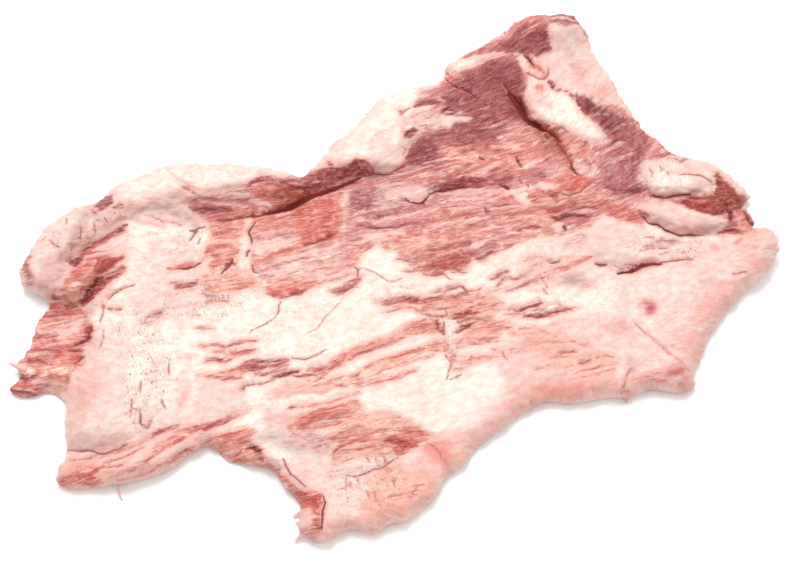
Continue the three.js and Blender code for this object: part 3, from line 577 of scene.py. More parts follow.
    ("maroon", 1.6, [26,66, 34,68.4, 40,70]),
    ("dark maroon", 1.6, [54,92, 56,86, 57.4,81]),
    ("pink fat", 1.2, [10,56.5, 18,58, 24,60]),
    ("pale pink", 1.4, [8,49.4, 18,51.5, 26,53]),
    ("pale pink", 1.2, [-2,50, 8,53.5, 20,55.5]),
    ("rosy fat", 1.2, [16,62, 24,64, 32,66]),
    ("coral", 0, [57,79, 58,76.5, 63,74.5, 67,71.5, 69,67, 72,63, 75,59.5, 78,62, 74,66, 72,71, 68,75,
        62,77.5]),
    ("dark maroon", 1.6, [65,72, 67,70]),
    ("dark maroon", 1.3, [70,67, 72,64.5]),
    ("brick", 0, [73,71, 78,70.5, 83,67.5, 84,65, 81,62, 79,63, 80,66, 76,68]),
    ("soft rose", 6, [62,66, 70,60]),
    ("pale lean", 0, [76,58.5, 80,58, 85,54, 87,50, 82,50, 78,52.5]),
    ("dark maroon", 1.3, [76,58, 76.3,54, 78,51.5, 79.8,50.2]),
    ("pale lean", 1.5, [84,60, 86,54, 88,50]),
    ("coral", 0, [69.5,42, 71,46, 75,50.5, 80,49.8, 84,47.8, 82,45, 79,42.5, 76,40.6]),
    ("pink fat", 1.5, [71.5,42.6, 75,40.4, 79,42, 84,47]),
    ("brick", 1.2, [62,41.2, 66,42.2, 72,41]),
    ("brick", 0, [65,41, 70.5,41, 70,38, 68.8,36.2, 67,38]),
    ("red", 0, [63,34, 68,33.8, 72,35.8, 77,37.6, 78,36.6, 72,33, 69,30.5, 65,31]),
    ("dark maroon", 2, [66,29.5, 69.7,27, 71,29.6, 76,30, 81,31]),
    ("maroon", 1.4, [75,32.8, 80,34, 86,34.3]),
    ("grey fat and shade", 1.8, [77,31.7, 82,32.6, 85,32]),
    ("maroon", 1.3, [80,29.8, 83.5,29.7]),
    ("pink fat", 0, [66,26.6, 70,26, 74,25, 73,21.5, 68,21.5]),
    ("dark maroon", 2.6, [70.4,23.8, 72.6,23.2]),
    ("rose", 0, [71.5,15.3, 74,18.8, 77.5,20.3, 80,19, 77.4,17, 74,15.3]),
    ("peach", 2.4, [75,23, 80,25, 86,28.2]),
    ("pale pink", 1, [62,37.8, 72,39, 82,40.8]),
    ("pale pink", 1.2, [80,37, 90,38.5, 98,37.5]),
    # towards the right: purple lean with a steeper grain
    ("pale lean", 1.6, [84,66, 92,68, 101,67]),
    ("pink fat", 1.2, [88,60.5, 95,64, 101,67.5]),
    ("pink fat", 1.4, [89,54.5, 96,58.5, 103,62]),
    ("pale lean", 1.1, [88,50.5, 96,53, 104,57.5]),
    ("maroon", 1.6, [90,48, 96,51, 104,53.5]),
    ("maroon", 1.6, [88,62.5, 96,68, 103,73]),
    ("maroon", 1.6, [92,75, 98,79, 102,80]),
    ("maroon", 2.4, [90,43.6, 96,44.6, 101,46.5]),
    ("dark maroon", 2.6, [98,41.5, 104,43, 108,43.4]),
    ("dark maroon", 1.6, [104,47, 106.6,49]),
    ("maroon", 1.6, [84,86, 88,85.5]),
    ("pink fat", 1, [84,80.5, 90,82, 95,81.6]),
    ("pale lean", 1, [90,72.5, 98,76, 104,77.5]),
    ("coral", 3, [104,79, 108,75.5, 112,70.5, 116,66.5, 121,62, 126,59.8]),
    ("red", 2.4, [112,60, 120,61.6, 125.5,59.3]),
    ("pink fat", 1.2, [108,79, 114,71.5, 122,65]),
    ("soft brick", 0, [-50,47.6, -44,50, -34,52, -24,57, -17,57, -18,51, -28,47, -36,43.6, -44,45]),
    ("soft coral", 0, [-62,42, -54,45, -46,44.6, -38,42.4, -46,38, -56,36.6, -62,38.6]),
    ("soft brick", 2.4, [-52,46.4, -44,45, -36,43.4]),
    ("maroon", 1.8, [14,43.6, 20,45.8, 27,47, 36,47]),
    ("soft salmon", 0, [0,50, 10,53, 20,52, 16,47, 4,46]),
    ("dusky fat and shade", 1.6, [5,38.4, 9,37.6, 13,40]),
    ("soft brick", 3.4, [67,72.6, 70.6,68, 73.6,62, 76,56]),
    ("soft coral", 0, [-44,34, -34,38, -26,38, -25,28, -34,25, -44,28]),
    ("soft salmon", 0, [-60,28, -50,31, -42,30, -40,24, -50,20, -60,21]),
    ("rose", 0, [-80,31.4, -70,33, -63,33.4, -63.6,29.4, -72,27.4, -80,28]),
    ("brick", 1.5, [-76,27.8, -70,28.8, -64,30.4]),
    ("soft salmon", 0, [-78,27, -66,30, -63,24, -66,20, -76,20]),
    ("mauve", 1, [-79,24.6, -72,24.8, -66,25.6]),
    ("rosy fat", 1.2, [-78,22.4, -72,22, -66,22.6]),
    ("brick", 1.6, [-38.6,15.2, -34,16.8, -30,19.4, -26,22.4]),
    ("soft pink lean", 0, [-18,46, -8,52, 4,54, 6,48, -6,44, -16,42]),
    ("soft pink lean", 0, [46,66, 50,78, 60,80, 62,70, 54,64]),
    ("soft rose", 0, [8,3, 13,13, 26,16, 33,13, 31,5, 20,1.6]),
    ("rosy fat", 1.2, [14,9, 20,11.4, 27,13.4]),
    ("pink fat", 1.4, [20,11, 25,12.4]),
    ("salmon", 1.3, [12,6, 18,8.6, 26,11]),
    ("pink fat", 1.3, [32,8.4, 34,10]),
    ("salmon", 0, [-79,27, -70,27.6, -64,28, -65,21, -70,18.6, -77,20]),
    ("brick", 1.4, [-76,27.6, -70,28.6, -64,30.2]),
    ("pink fat", 1.6, [-79,24.6, -74,23.6]),
    ("mauve", 1, [-78,22, -72,22.6, -67,24]),
    ("soft coral", 0, [-42,16, -30,16, -23,20, -23,34, -30,36, -42,30]),
    ("soft rose", 0, [4,51, 22,55, 44,56, 60,53, 58,47, 46,51, 24,51]),
    ("soft maroon", 0, [24,68, 25,78, 42,78, 42,69]),
    ("soft red", 0, [13,4, 15,9, 24,12, 29,10, 29,6, 20,2.6]),
    ("soft mauve", 0, [86,47, 93,61, 103,62, 103,45, 95,43]),
    ("brick", 1.8, [-38.6,15.2, -34,16.8, -30,19.4, -26,22.4]),
]
PEAK = [
    ("rose", 0, [22,111, 30,113, 38,118, 46,124, 54,133, 60,137, 68,142, 80,142, 90,134, 90,122, 86.4,122,
        84,128, 81,131, 77,130, 73,132, 70,132, 68.6,128, 69,125, 70,121, 71,117, 66,115, 63,113, 60,115,
        54,115, 50,116, 44,116.6, 38,114, 30,112.4]),
    ("soft rose", 0, [22,112, 32,114, 42,122, 52,128, 50,119, 44,117, 36,114]),
    ("soft maroon", 0, [50,116, 52,124, 57,130, 66,134, 69,125, 70,120, 71,116, 64,113, 58,115]),
    ("soft dark maroon", 0, [60,126, 66,128, 70,121, 70,116, 64,113, 61,117]),
    ("soft maroon", 0, [70,140, 82,138, 88,132, 87,122, 83,130, 78,132, 71,133]),
    ("soft maroon", 0, [42,117.6, 50,124, 58,130, 68,133, 70,122, 62,115, 52,116.6]),
    ("salmon", 1.2, [55,129.6, 60,133.6, 67,136.8]),
    ("salmon", 0.9, [57,127, 62,131, 66,134]),
    ("rose", 1.1, [54,122.5, 60,127, 65,131]),
    ("rose", 1.1, [46,121.4, 52,126, 56,130]),
    ("pale lean", 1.2, [70,135.5, 78,135.5, 83,133]),
    ("cream", 0, [20,111, 26,110.8, 32,112, 38,113.6, 43.4,115.6, 42,113, 38,108.6, 33,106.6, 28,106.4,
        22,104]),
    ("soft pink fat", 0, [20,112, 26,110, 26,104, 20,104]),
    ("soft pale pink", 0, [56,113, 70,112, 86,118, 92,104, 84,84, 76,92, 66,96, 60,104]),
    ("soft pink fat", 0, [66,114, 74,117, 80,112, 92,116, 104,88, 92,86, 84,92, 78,95, 70,100]),
    ("soft rosy fat", 0, [80,106, 88,108, 96,94, 90,90, 82,97]),
    # painted shade over the top right of the peak
    ("soft grey fat and shade", 0, [70,132, 78,131, 84,127, 86,122, 80,120, 74,124, 70,122]),
    ("soft dusky fat and shade", 3, [84,127, 86,120]),
    ("soft pink fat", 0, [57,100, 66,99, 70,92, 64,84, 60,80, 57,88]),
    ("soft rosy fat", 3, [58,96, 59,88, 62,80]),
    ("soft rosy fat", 2, [62,90, 70,84]),
    ("soft coral", 4, [61.5,96.4, 65.4,96]),
    ("salmon", 0, [60.4,109.6, 64,108.8, 66.6,105.4, 66,103, 63.6,105.6, 61,106.6]),
    ("thin fat", 2, [60.6,111.6, 65,110.4]),
    ("maroon", 2, [68,100.4, 69,97.6, 70.4,95.4]),
    ("mauve", 1, [71,95.6, 74,94.6, 77.4,93]),
    ("soft dusky fat and shade", 4, [68,100, 71,96]),
    ("rosy fat", 1.2, [73,94.6, 76,94.4, 79,95.4]),
    ("maroon", 0, [78.8,90.8, 80.4,92.8, 83,92, 86,90.2, 88,87, 84,82, 82,84, 80,88]),
    ("maroon", 1.2, [76.8,93, 79.2,91, 81,88]),
    ("soft dark maroon", 0, [80,90, 86,90, 94,84, 100,78, 96,72, 90,76, 86,82]),
    ("rose", 1.5, [44,108, 50,110, 55,106]),
    ("soft maroon", 0, [38,112, 46,115, 52,114.6, 54,111, 55.4,106, 57,100, 56,96, 52,97, 49,101, 46,100,
        42,96, 38,94, 34,94, 30,98, 27,102, 33,106]),
    ("brick", 1.2, [22.6,105, 25,103]),
    ("brick", 1.1, [23.6,100.6, 26,99]),
    ("rosy fat", 1.2, [28,104, 31,101]),
    ("mauve", 2, [24,103, 28,99.5, 33,97]),
    ("salmon", 1.4, [47.6,97.4, 50,95.4]),
    ("soft maroon", 0, [38,100, 42,104, 50,103, 50,96, 44,93, 38,94]),
    ("soft coral", 0, [21,105, 24,106, 26,101, 25,98, 21,100]),
    ("cream", 0, [55,113, 58,114.6, 60.4,111.6, 59.8,108.4, 57.6,106.4, 56,108.6]),
    ("soft rosy fat", 0, [70,75, 76,76, 84,69, 80,63, 74,66]),
    ("soft salmon", 0, [74,70, 84,69, 84,62, 76,62]),
    ("mauve", 1.3, [58,105, 60.4,103.4, 63.6,101.8, 66.4,101.4, 68,104.4, 68,108]),
    ("maroon", 2.2, [58,115.6, 60,112.8, 61.4,110.4]),
    ("soft coral", 0, [60,110, 65,110, 67,104, 63,104]),
    ("soft rose", 0, [42,112, 44,117, 54,116, 55,112, 48,112]),
    # painted shade over the top right of the peak
    ("soft dusky fat and shade", 0, [78,132, 86,128, 88,118, 83,118, 80,124, 74,128]),
    ("soft grey fat and shade", 0, [70,110, 72,118, 80,120, 86,112, 78,112]),
    ("dark maroon", 2, [68.4,100, 69.2,97.8, 70.2,95.8]),
    # painted shade over the top right of the peak
    ("soft grey fat and shade", 0, [71,114, 73,129, 84,129, 86,114, 78,111]),
]
TALL_LOBE = [
    ("soft pale pink", 0, [-4,74, 6,84, 16,84, 22,78, 14,73, 4,74]),
    ("maroon", 0, [3,71, 5,75, 8,75.8, 9.8,74, 7.5,72, 5.5,70.5]),
    ("rose", 1.6, [1.5,82.5, 3.5,84.5]),
    ("rose", 1.2, [10.5,76.5, 14.5,77.6]),
    ("rose", 1.6, [13.2,75.3, 17,73.9]),
    ("maroon", 3.2, [8,86.5, 12,88.3, 21,89]),
    ("pink fat", 1.3, [6,82, 10,83.5]),
    ("maroon", 1.2, [-29,57.5, -26.4,55]),
    ("pink fat", 2, [5,77.5, 12,79.5, 20,79.5]),
    ("pale pink", 0, [-14,60, -8,74, -2,72, 0,62, -6,58]),
]
PADS = [
    ("soft pale pink", 0, [104,50, 107,58, 128,60, 140,53, 137,42, 110,40]),
    ("soft pink fat", 0, [122,58, 134,59, 139,53, 130,50, 122,51]),
    ("soft dusky fat and shade", 2.4, [118,59, 122,56.6, 127,58]),
    ("mauve", 1.4, [120.4,58.8, 123,57.2, 126,58.4]),
    ("dusky fat and shade", 0.9, [115,53.4, 117.6,50, 119.4,52]),
    ("dusky fat and shade", 1, [112.4,49, 114.6,46.4]),
    ("rosy fat", 1.4, [129,49.6, 133,48.6, 136,46]),
    ("ivory", 0, [110,44, 114,52, 122,50, 128,44, 122,41]),
    ("soft pink fat", 0, [101,35, 106,38, 118,35, 124,31, 136,28, 139,26, 130,21, 118,21, 108,27]),
    ("soft rosy fat", 0, [118,22, 122,28, 134,27, 139,25, 130,20.5]),
    ("brick", 0, [121,36.5, 126,39.5, 131,38.5, 136,40.5, 138,45, 137,50.5, 139,52, 142,48, 145,45,
        146,41, 149,39.5, 150,36, 147,33, 142,32, 139,30.5, 134,30.5, 129,32, 124,33.5]),
    ("rose", 1.4, [123,38, 129,36.5, 134,38]),
    ("rose", 0, [141,32, 147,33, 151,30, 153,24, 148,20.5, 140,19.8, 136,20.3, 140,24.5, 142,28]),
    ("soft salmon", 4, [145,31, 147.4,27, 147,23]),
    ("rosy fat", 1, [144,31, 146,27.6, 145.6,24]),
    ("blood", 2, [140.5,36, 142.5,31, 142,26]),
    ("blood", 1.5, [134,30.6, 138,31.5, 141,34]),
    ("blood", 1.1, [148.4,32, 149.6,27.6, 151,24]),
    ("brick", 1.8, [137,21, 142,22.5, 148,21.3]),
    ("pink fat", 0, [138,54, 144,53, 149,47, 152,42, 150.5,39.7, 146.5,41, 145.3,44, 142,47.5, 139.5,51]),
    ("soft rosy fat", 3, [141,50.5, 144,47.5]),
    ("rose", 1.6, [117,37.8, 121,36.3]),
    ("rose", 1.2, [109,39.2, 115,38.3]),
    ("rose", 2, [104,31.3, 107,29.8]),
]
MIDDLE_STREAKS = [
    ("peach", 0, [-80,2, -76,0.5, -70,2, -62,3, -60,1, -57,-2, -56,-5, -59,-6, -66,-4, -71,-5, -79,-7,
        -80,-3]),
    ("coral", 1.6, [-79,-6.3, -75,-6.8, -68,-6, -61,-4]),
    ("pale pink", 1.3, [-78,-2.5, -70,-2, -64,-1]),
    ("maroon", 1.4, [-80,-8, -77.5,-9, -73.5,-8.5]),
    ("rose", 1.1, [-79,-12, -74,-11, -69,-11]),
    ("salmon", 3.4, [-77,3, -74,7, -70,11]),
    ("salmon", 0, [-55,-5, -54,-7.5, -50,-8.8, -46,-8.8, -40,-8, -36,-5.5, -30,-2.3, -34,-1, -40,-2,
        -46,-2, -50,-2]),
    ("coral", 2.6, [-53,-5.4, -47,-6.4, -40,-5.2]),
    ("red", 1.8, [-54,-7, -50,-8, -46,-8.4, -40,-7, -35,-4.8]),
    ("peach", 2.4, [-54,-2, -48,-1, -40,-0.6, -32,0.5]),
    ("rose", 1.2, [-31,-1.5, -24,-0.5, -20,1, -16.5,2]),
    ("salmon", 1.6, [-30,1, -25,3, -20,5]),
    ("rose", 0, [-28,-6, -26,-7.6, -22,-8.3, -19,-6, -15,-2.3, -14,0.4, -17,0, -20,-2, -24,-4.2]),
    ("maroon", 1.3, [-26,-6.5, -20,-6, -15.5,-2]),
    ("pink fat", 1, [-24,-4.4, -18,-2.4]),
    ("rose", 1.3, [-81.5,-24, -75.5,-24.6]),
    ("red", 1.5, [-81,-32.4, -76,-32, -70,-32, -65,-31, -61,-29.8, -57,-29.5]),
    ("rose", 1, [-75,-34.4, -70,-34.8, -65,-34.5]),
    ("salmon", 0, [-70,-36, -64,-34, -59,-33.4, -56,-34.5, -60,-36.3, -65,-37.8, -70,-37]),
    ("rose", 1.6, [-77.5,-38.6, -73,-38, -70,-38.6, -66.5,-38]),
    ("rose", 1, [-72,-39.6, -67.5,-39]),
    ("rose", 1.4, [-68,-36.4, -63,-35, -58,-34.2]),
    ("rose", 0, [-63,-40.5, -58,-39, -52,-39, -46,-38, -43.5,-38.5, -46,-40.6, -44,-41.2, -48,-42.5,
        -52,-42.3, -56,-43.2, -63,-43]),
    ("maroon", 1.3, [-60,-41.8, -54,-41.8, -47,-40.6]),
    ("brick", 1, [-58,-39.8, -51,-39.3, -45.6,-38.8]),
    ("pale pink", 1, [-57,-40.2, -51,-40.4, -47,-40.6]),
    ("salmon", 0, [-80,-45.6, -75,-45, -70,-44, -62,-41.2, -60,-43, -62,-45, -62,-47.8, -67,-47.8,
        -73,-47.6]),
    ("rose", 1.3, [-78,-46.4, -70,-46.8, -63,-46.4]),
    ("coral", 1.3, [-72,-44.8, -66,-43.2, -61,-42.4]),
    ("pale pink", 1, [-74,-45.4, -68,-45, -63,-43.8]),
    ("mauve", 0.9, [-57,-45, -53,-45, -48,-43.6, -44,-42.5]),
    ("brick", 2.2, [-51,-46.6, -47,-46, -43,-44.5, -38.5,-43.4]),
    ("dark maroon", 1, [-46,-45.4, -42,-44.2]),
    ("red", 1, [-41,-46, -35,-46, -28,-45.5]),
    ("maroon", 1, [-33.3,-48, -31,-47.5, -29.3,-46.4]),
    ("brick", 1, [-55.5,-49.3, -53,-49, -49,-47.8]),
    ("brick", 2, [-62.5,-50.5, -61.5,-52.8]),
    ("mauve", 0.8, [-62,-50.3, -59,-50, -56.5,-49]),
    # the long bands below the middle
    ("salmon", 5, [-36,-44, -28,-42.5, -22,-38.5, -15,-34.5, -8,-32, -2,-29.5, 5,-26.5]),
    ("salmon", 0, [-8,-31, 0,-25.5, 6,-22, 12,-20, 16,-20, 17,-23, 19.5,-27, 14,-26.5, 6,-27, -2,-30]),
    ("rose", 2, [-34,-43.6, -27,-41.8, -21,-38.6]),
    ("rose", 1.2, [-18,-37.6, -8,-33.4, 0,-30]),
    ("rose", 1.3, [2,-25.4, 9,-22.8, 15,-22.4]),
    ("cream", 1.1, [-8,-30.6, 0,-27, 8,-25]),
    ("red", 1.8, [16,-20, 17.5,-24, 19.5,-27.4]),
    ("peach", 3.2, [-46,-50, -38,-50, -30,-49.5, -24,-48.2, -16,-46.5, -10,-42.5]),
    ("peach", 0, [-12,-43.5, -4,-39.5, 4,-35.5, 12,-31.5, 19,-29, 22,-32, 20,-35.5, 12,-34.5, 4,-38.5,
        -4,-42.6]),
    ("coral", 1.5, [-12,-42, -4,-38.4, 4,-35.6, 12,-33]),
    ("salmon", 1.4, [-10,-45, 0,-41.5, 8,-38.4, 16,-37]),
    ("pale lean", 2.4, [-26,-48.6, -16,-48, -6,-45]),
    ("salmon", 2.2, [-18,-50.5, -8,-49, 0,-46.5, 8,-43]),
    ("rosy fat", 2.4, [-52,-56.5, -45,-54.6, -38,-53, -30,-53.3, -21,-50.5]),
    ("soft rosy fat", 5, [-52,-54, -40,-51.6, -28,-50.4]),
    ("rose", 1.2, [-24,-50.4, -19.5,-51.2]),
    ("salmon", 1.4, [-43,-60, -35,-59, -28,-58, -20,-55, -15,-53.6]),
    ("soft pale lean", 0, [-54,-60, -44,-62, -36,-62, -40,-68, -52,-70]),
    ("rose", 2, [-43,-60.2, -41,-59.6]),
    ("salmon", 0, [-44,-68.4, -38,-63.4, -30,-60.4, -22,-57.6, -16,-57, -14,-60.5, -16,-64.3, -22,-66.4,
        -28,-69.6, -34,-71, -41,-71]),
    ("coral", 2, [-40,-69, -32,-64.6, -22,-61]),
    ("rose", 1.5, [-38,-69, -32,-66.3, -24,-63.5, -17,-61.5]),
    ("pale lean", 1, [-34,-67.6, -26,-65.3, -18,-63]),
    ("red", 2.4, [-82,-70, -76,-69, -71,-67, -66.5,-64.4, -61.5,-62]),
    ("soft rosy fat", 3, [-66,-64, -58,-60]),
    ("soft pink fat", 0, [-80,-48, -62,-50, -60,-60, -70,-66, -84,-66]),
    ("rosy fat", 0, [10,-11, 20,-8.5, 35,-8.3, 42,-10, 46,-13, 42,-17, 40,-20, 50,-22, 44,-27, 38,-30.5,
        30,-33, 22,-32, 22,-28.5, 26,-28, 31,-23, 28,-19.6, 20,-19.5, 10,-18.5, 9,-15]),
    ("salmon", 2.2, [8,-12, 18,-10.4, 30,-9.6, 42,-10.6]),
    ("salmon", 2.2, [8,-16.4, 18,-14.6, 30,-13, 44,-12.6]),
    ("salmon", 1.6, [24,-17, 34,-15, 46,-15]),
    ("coral", 1.8, [10,-14.6, 18,-12.6, 28,-11.8]),
    ("salmon", 2, [28,-22.6, 36,-21.4, 48,-21.6]),
    ("salmon", 2, [28,-27.4, 36,-25.6, 48,-24.4]),
    ("coral", 1.6, [30,-25.4, 36,-24, 44,-23.4]),
    ("salmon", 1.8, [24,-31, 34,-29.4, 42,-28.4]),
    ("salmon", 1.2, [44,-18.6, 50,-17.6, 56,-17]),
    ("rose", 0, [-8,-12.5, -3,-9.2, 2,-8.8, 10,-9.2, 16,-8.8, 22,-7.8, 28,-7.3, 33,-6.6, 36,-5.6, 34,-8.3,
        31,-9.8, 27,-9.3, 20,-10, 14,-12.3, 8,-12.8, 2,-12.3, -4,-14]),
    ("brick", 2, [3.5,-9.3, 7,-10, 10.5,-10.4]),
    ("rose", 1, [-5,-17, 0,-15.6, 6,-14]),
    ("salmon", 1.8, [-2,-13.8, 6,-14.8, 12,-16.5]),
    ("pink fat", 1.3, [10,-13.4, 18,-12.5, 28,-11.5, 38,-10.8]),
    ("cream", 1.8, [15.5,-13, 19,-14, 22,-13.6]),
    ("cream", 1.2, [14,-15.8, 20,-16.5, 24,-15]),
    ("pink fat", 1.2, [26,-14.5, 34,-13.7, 42,-13.5]),
    ("red", 2.3, [22,-19, 27,-18, 34.5,-16.3]),
    ("red", 1.1, [10,-18, 15,-18.4, 20.5,-19]),
    ("brick", 1.2, [22,-19.7, 30,-20, 40,-19]),
    ("cream", 0, [16,-19.6, 22,-21, 26,-21.6, 25,-25.5, 27,-28.5, 22,-29, 19.8,-27.5, 19.5,-23]),
    ("brick", 2, [24.5,-26.3, 27,-24.5, 30,-23.2, 31,-21.8]),
    ("rose", 2.6, [26,-22, 30,-21]),
    ("pink fat", 1.6, [30,-24.8, 38,-23.6, 48,-21.5]),
    ("pink fat", 1.3, [28,-29.8, 36,-28, 46,-25]),
    ("rose", 1.1, [24,-33, 31,-32, 36,-30.8, 42,-30.3]),
    ("cream", 1.6, [20,-34, 28,-33.4, 36,-32.3]),
    ("peach", 0, [20,-34.5, 22,-40, 34,-40.5, 30,-38, 24,-37.5, 25,-35.5]),
    ("cream", 0, [23,-37, 28,-35.6, 33.5,-35.2, 31,-38.5, 25,-39.4]),
    ("salmon", 1.5, [28,-40, 34,-38.4, 42,-36]),
    ("rose", 1.1, [22,-43, 26,-42.4, 30,-41]),
    ("salmon", 1.3, [39,-34, 44,-34.6, 48,-35, 51,-34, 55,-32.6]),
    ("rose", 1.5, [47.5,-35, 50.5,-34.2]),
    # spots and streaks on the fat right of the middle
    ("soft pale pink", 0, [48,4, 60,16, 76,20, 88,26, 102,24, 116,18, 130,18, 128,0, 112,-18, 96,-24,
        70,-22, 56,-10]),
    ("soft pink fat", 0, [62,18, 78,18, 84,26, 96,27, 96,18, 84,10, 70,12]),
    ("soft grey fat and shade", 3, [106,13, 113,16.6, 121,16.6]),
    ("dusky fat and shade", 1.4, [107,15.4, 112,17, 118,17]),
    ("dark maroon", 1.5, [97,3, 100.4,4.4, 104,6, 108,6.6, 111,6.2]),
    ("soft rosy fat", 2.4, [94,2, 104,5, 114,7]),
    ("mauve", 2.6, [38.5,-0.6, 43,0.8, 47,2.8]),
    ("maroon", 1, [24,2, 29.5,2.4]),
    ("mauve", 1.3, [53.5,7.4, 57,9, 59,10, 62,9.2, 65,7.2, 67,7]),
    ("maroon", 1.5, [64.5,6.9, 67,7, 69.5,8.7]),
    ("rosy fat", 2, [68,8.6, 74,9, 80,9.6]),
    ("mauve", 1.2, [56.8,3.6, 59,5, 61.5,6.7]),
    ("mauve", 1, [50.5,1, 53,1.2, 56,2, 58,3.8]),
    ("rose", 1.6, [41.8,-4.7, 43.5,-2.5, 46,-1, 50,-0.5, 54,1]),
    ("rose", 1.7, [45.5,-7.7, 50,-5, 54,-3, 58,-1.5, 62,0.5, 66,2.5]),
    ("salmon", 2.8, [63,2, 70,4.2, 76,6.7, 82,9]),
    ("soft dusky fat and shade", 0, [68,2, 78,2, 82,-2, 78,-6, 68,-3]),
    ("mauve", 1.2, [77,-5.2, 79,-4.4, 80.5,-4.6]),
    ("soft grey fat and shade", 0, [82,12, 90,12, 102,8, 98,4, 88,5, 82,8]),
    ("dark maroon", 1.4, [83.5,6.5, 86,6, 88.5,6]),
    ("salmon", 2.5, [53,-18.6, 59,-17.6, 63,-15.6, 68,-13.8]),
    ("rose", 1.4, [60,-18.7, 66,-17.6, 70,-16, 75,-14.8]),
    ("brick", 1.3, [64.2,-15.8, 66,-15.2]),
    ("pale lean", 1.3, [34,-17, 45,-15.4, 54,-13.3]),
    ("pale lean", 1.3, [36,-8, 46,-6.2, 52,-4]),
    ("rosy fat", 2.2, [60,-23.5, 68,-21.5, 78,-20.5]),
    ("soft rosy fat", 5, [89,-25, 97,-24]),
    ("salmon", 3, [-75,8, -71,11, -67,14]),
    ("coral", 2, [-80,11, -78,14, -73,16]),
    ("salmon", 2.2, [-81,8, -79,10.4]),
    ("salmon", 2, [-94,5.4, -89,6, -84,6.6]),
    ("red", 2, [-71.6,4.4, -69,7.4, -68.6,9.4]),
    ("red", 1.4, [-81,-1, -86,-2.6, -92,-5]),
    ("mauve", 2.2, [-92,-3, -88.6,-4.4, -84,-3]),
    ("soft peach", 0, [-79,1, -62,3, -60,-2, -72,-3.6, -79,-3]),
    ("soft ivory", 0, [-104,-18, -92,-18, -88,-30, -94,-44, -96,-58, -104,-62, -107,-44]),
    ("rose", 1.6, [10,3, 15,2, 20,2.6]),
    ("rose", 1, [3,2.6, 7,2.8, 10,3.4]),
    ("rose", 1, [5,5.4, 10,5.6]),
    ("rose", 2, [2,9.4, 7,8.6, 12,9]),
    ("rose", 1.2, [15,-7, 19,-6.6, 25,-5.4]),
    ("mauve", 1.2, [21,-5.6, 27,-4.8]),
]
